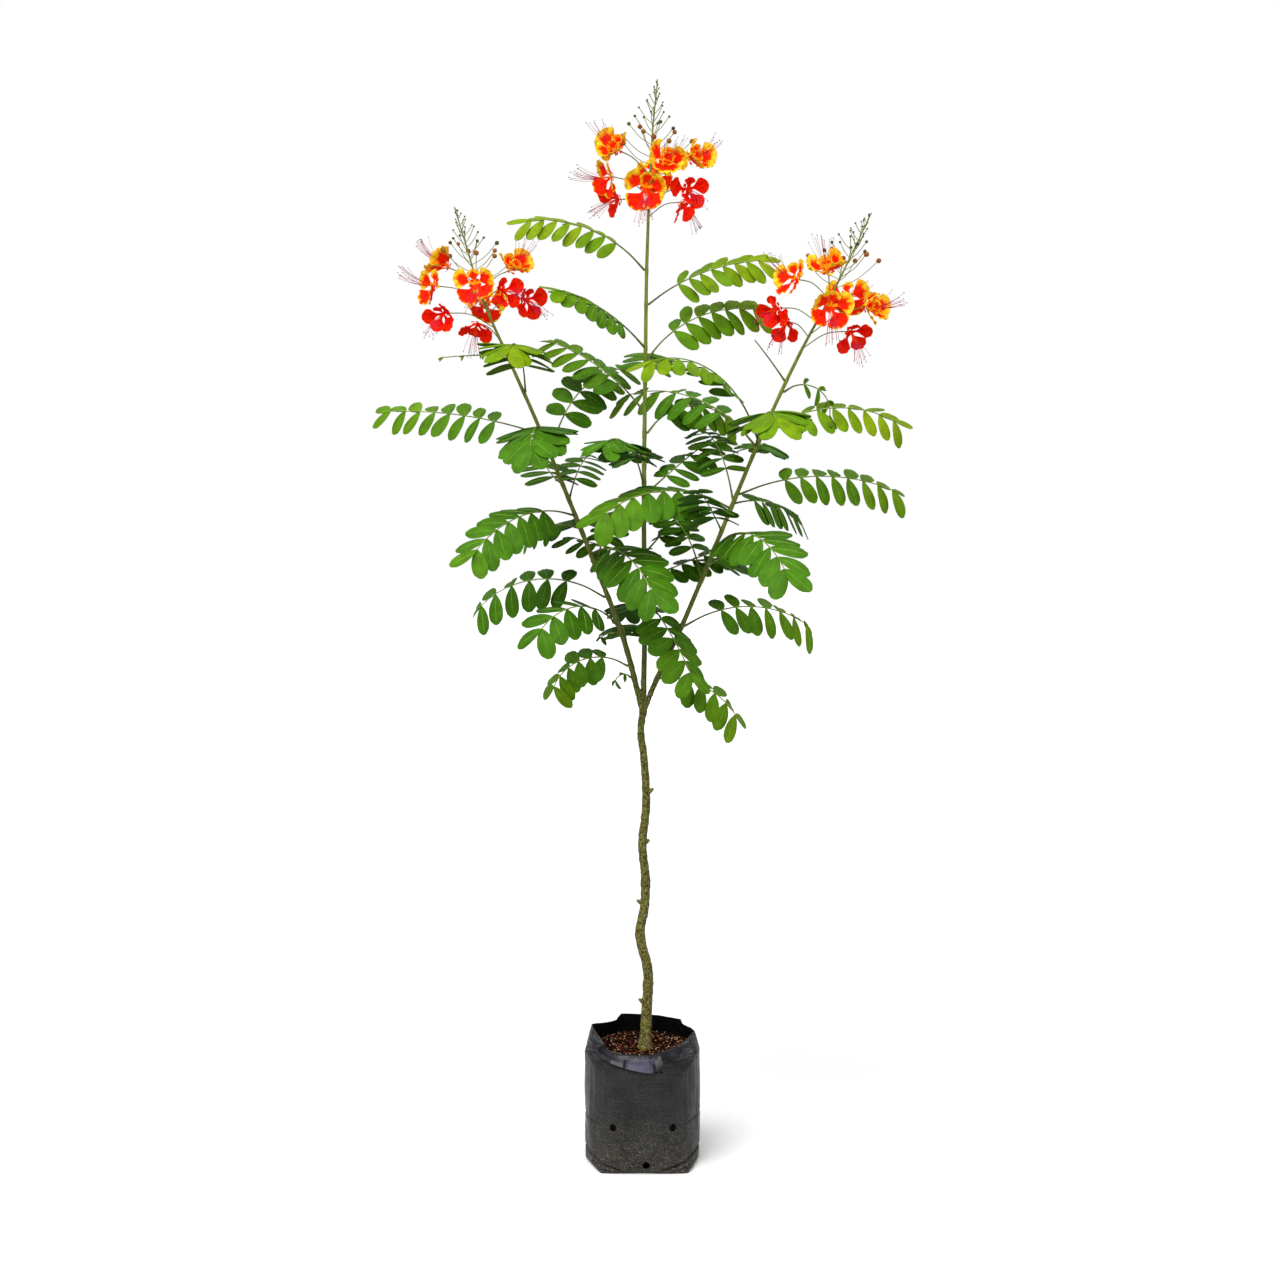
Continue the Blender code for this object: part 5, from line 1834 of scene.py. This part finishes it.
for name in STEMS:
    petals = smooth(join_copies("petals_" + name, petal_copies[name], bloom_finishes), 55)
    dress(petals, "bloom", ["flower_head_" + name])
print(sum(len(copies) for copies in petal_copies.values()), "petals,", len(threads), "threads")

# %% [markdown]
# The threads are drawn in two pieces, foot and filament, because each has a
# colour of its own. Anthers are small seeds laid askew on the threads' ends.
# The sepals behind the petals are orange red.

# %% Filaments, anthers and sepals
HEADS = ["flower_head_" + name for name in STEMS]
ANTHER_SIZE = 0.00095

thread_radii = [THREAD_RADIUS - THREAD_TAPER * step for step in range(THREAD_STEPS + 1)]
filament_lines = [(points[THREAD_FOOT:], thread_radii[THREAD_FOOT:]) for points, _ in threads]
foot_lines = [(points[:THREAD_FOOT + 1], thread_radii[:THREAD_FOOT + 1]) for points, _ in threads]
filaments = strands("filaments", filament_lines, 4)
dress(filaments, "bloom", HEADS, stalk_finish("crimson_thread", (150, 8, 48), (206, 44, 98)))
# The threads' feet take the petals' finish, with its painted glow.
dress(strands("filament_feet", foot_lines, 4), "bloom", HEADS, petal_finish("thread_foot", (246, 72, 14)))


def model_anther():
    """A small flattened seed."""
    bpy.ops.object.select_all(action="DESELECT")
    bpy.ops.mesh.primitive_uv_sphere_add(segments=6, ring_count=4, radius=1, location=(0, 0, 0))
    anther = started("anther")
    with editing(anther):
        bpy.ops.mesh.select_all(action="SELECT")
        bpy.ops.transform.resize(value=(0.55, 0.45, 1.2))
    return Shape(anther)


anther = model_anther()
anther_copies = []
for points, way in threads:
    turn = way.to_track_quat("Z", "Y").to_matrix().to_4x4() @ Matrix.Rotation(1.0, 4, "X")
    anther_copies.append((anther, Matrix.Translation(points[-1]) @ turn @ Matrix.Scale(ANTHER_SIZE, 4), [0]))
anther_finish = stalk_finish("anther", (42, 28, 34), (78, 50, 52))
dress(smooth(join_copies("anthers", anther_copies, [anther_finish]), 60), "bloom", HEADS)
# The sepals take the petals' finish too, with its painted glow.
sepals = smooth(join_copies("sepals", sepal_copies, [petal_finish("sepal", (232, 70, 18))]), 55)
dress(sepals, "bloom", HEADS)

# %% [markdown]
# ## Buds
# Buds stand in a spiral above the flowers. Low ones are round, brown and on
# long stalks. Higher ones are green, small and close to the stem, up to the
# tight tip. One bud is modelled, and the spiral sets each copy's height,
# heading, size and tone. Its turn from bud to bud is the one that many plants
# have.

# %% Buds
BUDS = 34
BUD_TURN = 137.5
# From the lowest bud to the tip: radius, stalk, lift in degrees, and height as a share of the head's.
BUD_RADIUS = (0.0038, 0.0013)
BUD_STALK = (0.064, 0.003)
BUD_LIFT = (32, 66)
BUD_HEIGHTS = (0.47, 0.97)
BUD_STALK_EASE = 0.8
BUD_STALK_SAG = 0.09
# Up to these shares of the spiral buds are brown, then olive, and green above.
BROWN_TO, OLIVE_TO = 0.24, 0.6


def model_bud():
    """A round bud with a blunt point and a narrowed foot."""
    bpy.ops.object.select_all(action="DESELECT")
    bpy.ops.mesh.primitive_uv_sphere_add(segments=10, ring_count=8, radius=1, location=(0, 0, 0))
    bud = started("bud")
    with editing(bud):
        pick(bud, lambda co: co.z > 0.5)
        bpy.ops.transform.resize(value=(0.86, 0.86, 1.12), center_override=(0, 0, 0.5))
        pick(bud, lambda co: co.z < -0.6)
        bpy.ops.transform.resize(value=(0.8, 0.8, 1.25), center_override=(0, 0, -0.6))
    return Shape(bud)


def grow_bud(stem, count, chance):
    """The stalk's points and the copy of one bud of a stem's spiral."""
    share = count / (BUDS - 1)
    tip, start = STEMS[stem].way[-1][2], STEMS[stem].flowers_from
    centre, _ = stem_at(stem, start + (tip - start) * blend(BUD_HEIGHTS, share))
    direction = heading_vector(count * BUD_TURN, blend(BUD_LIFT, share))
    reach = blend(BUD_STALK, share ** BUD_STALK_EASE) * chance.uniform(0.82, 1.0)
    end = centre + direction * reach
    size = blend(BUD_RADIUS, ease(0.05, 0.6, share) ** 0.8) * chance.uniform(0.8, 1.0)
    middle = centre.lerp(end, 0.5) - UP * reach * BUD_STALK_SAG
    turn = direction.to_track_quat("Z", "Y").to_matrix().to_4x4()
    tone = 0 if share < BROWN_TO else 1 if share < OLIVE_TO else 2
    placed = (bud_shape, Matrix.Translation(end) @ turn @ Matrix.Scale(size, 4), [tone])
    return smooth_path([centre, middle, end], 0.004), placed


bud_shape = model_bud()
chance = Random(11)
buds = [grow_bud(stem, count, chance) for stem in STEMS for count in range(BUDS)]
print(len(buds), "buds")

# %% [markdown]
# The stems' tips, the flowers' stalks and the buds' finer stalks are green
# twigs of one piece. A flower's stalk swells just behind its sepals.

# %% Flower stalks
TIP_SLIM = 0.9
BUD_STALK_SLIM = 0.6

head_lines = []
for name, stem in STEMS.items():
    fine = [point for point in smooth_path(stem.way, 0.004) if point.z > stem.flowers_from - 0.004]
    fine[-1] = fine[-1] - UP * 0.0008
    head_lines.append((fine, [TIP_SLIM * stem_radius(name, point.z) for point in fine]))
for path in pedicels:
    swelling = [0.85 + 0.5 * (step / len(path)) ** 6 for step in range(len(path))]
    head_lines.append((path, [PEDICEL_RADIUS * swell for swell in swelling]))
for path, _ in buds:
    head_lines.append((path, [PEDICEL_RADIUS * BUD_STALK_SLIM] * len(path)))
flower_stalks = strands("flower_stalks", head_lines, 6)
dress(flower_stalks, "stem", HEADS, stalk_finish("flower_stalk", (96, 112, 36), (140, 150, 62)))

# %% [markdown]
# A bud that is about to open is brown, the next ones are olive, and the
# youngest are as green as the stem. They need no more than three plain tones.

# %% Bud finishes
bud_finishes = [
    stalk_finish("bud_brown", (124, 66, 20), (172, 104, 36)),
    stalk_finish("bud_olive", (58, 54, 16), (98, 92, 32)),
    stalk_finish("bud_green", (66, 80, 26), (108, 124, 50)),
]
dress(smooth(join_copies("buds", [bud for _, bud in buds], bud_finishes), 60), "bloom", HEADS)

# %% [markdown]
# ## Last checks
# The box of the dressed plant is printed here, and the CAD's box was printed
# at the start. A leaf or a flower outside the CAD's box would show here.

# %% Sizes
low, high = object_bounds()
print("visual box", [round(value, 4) for value in (*low, *high)])
meshes = [obj for obj in bpy.data.objects if obj.type == "MESH" and not obj.hide_render]
print("triangles", sum(triangles(obj) for obj in meshes))
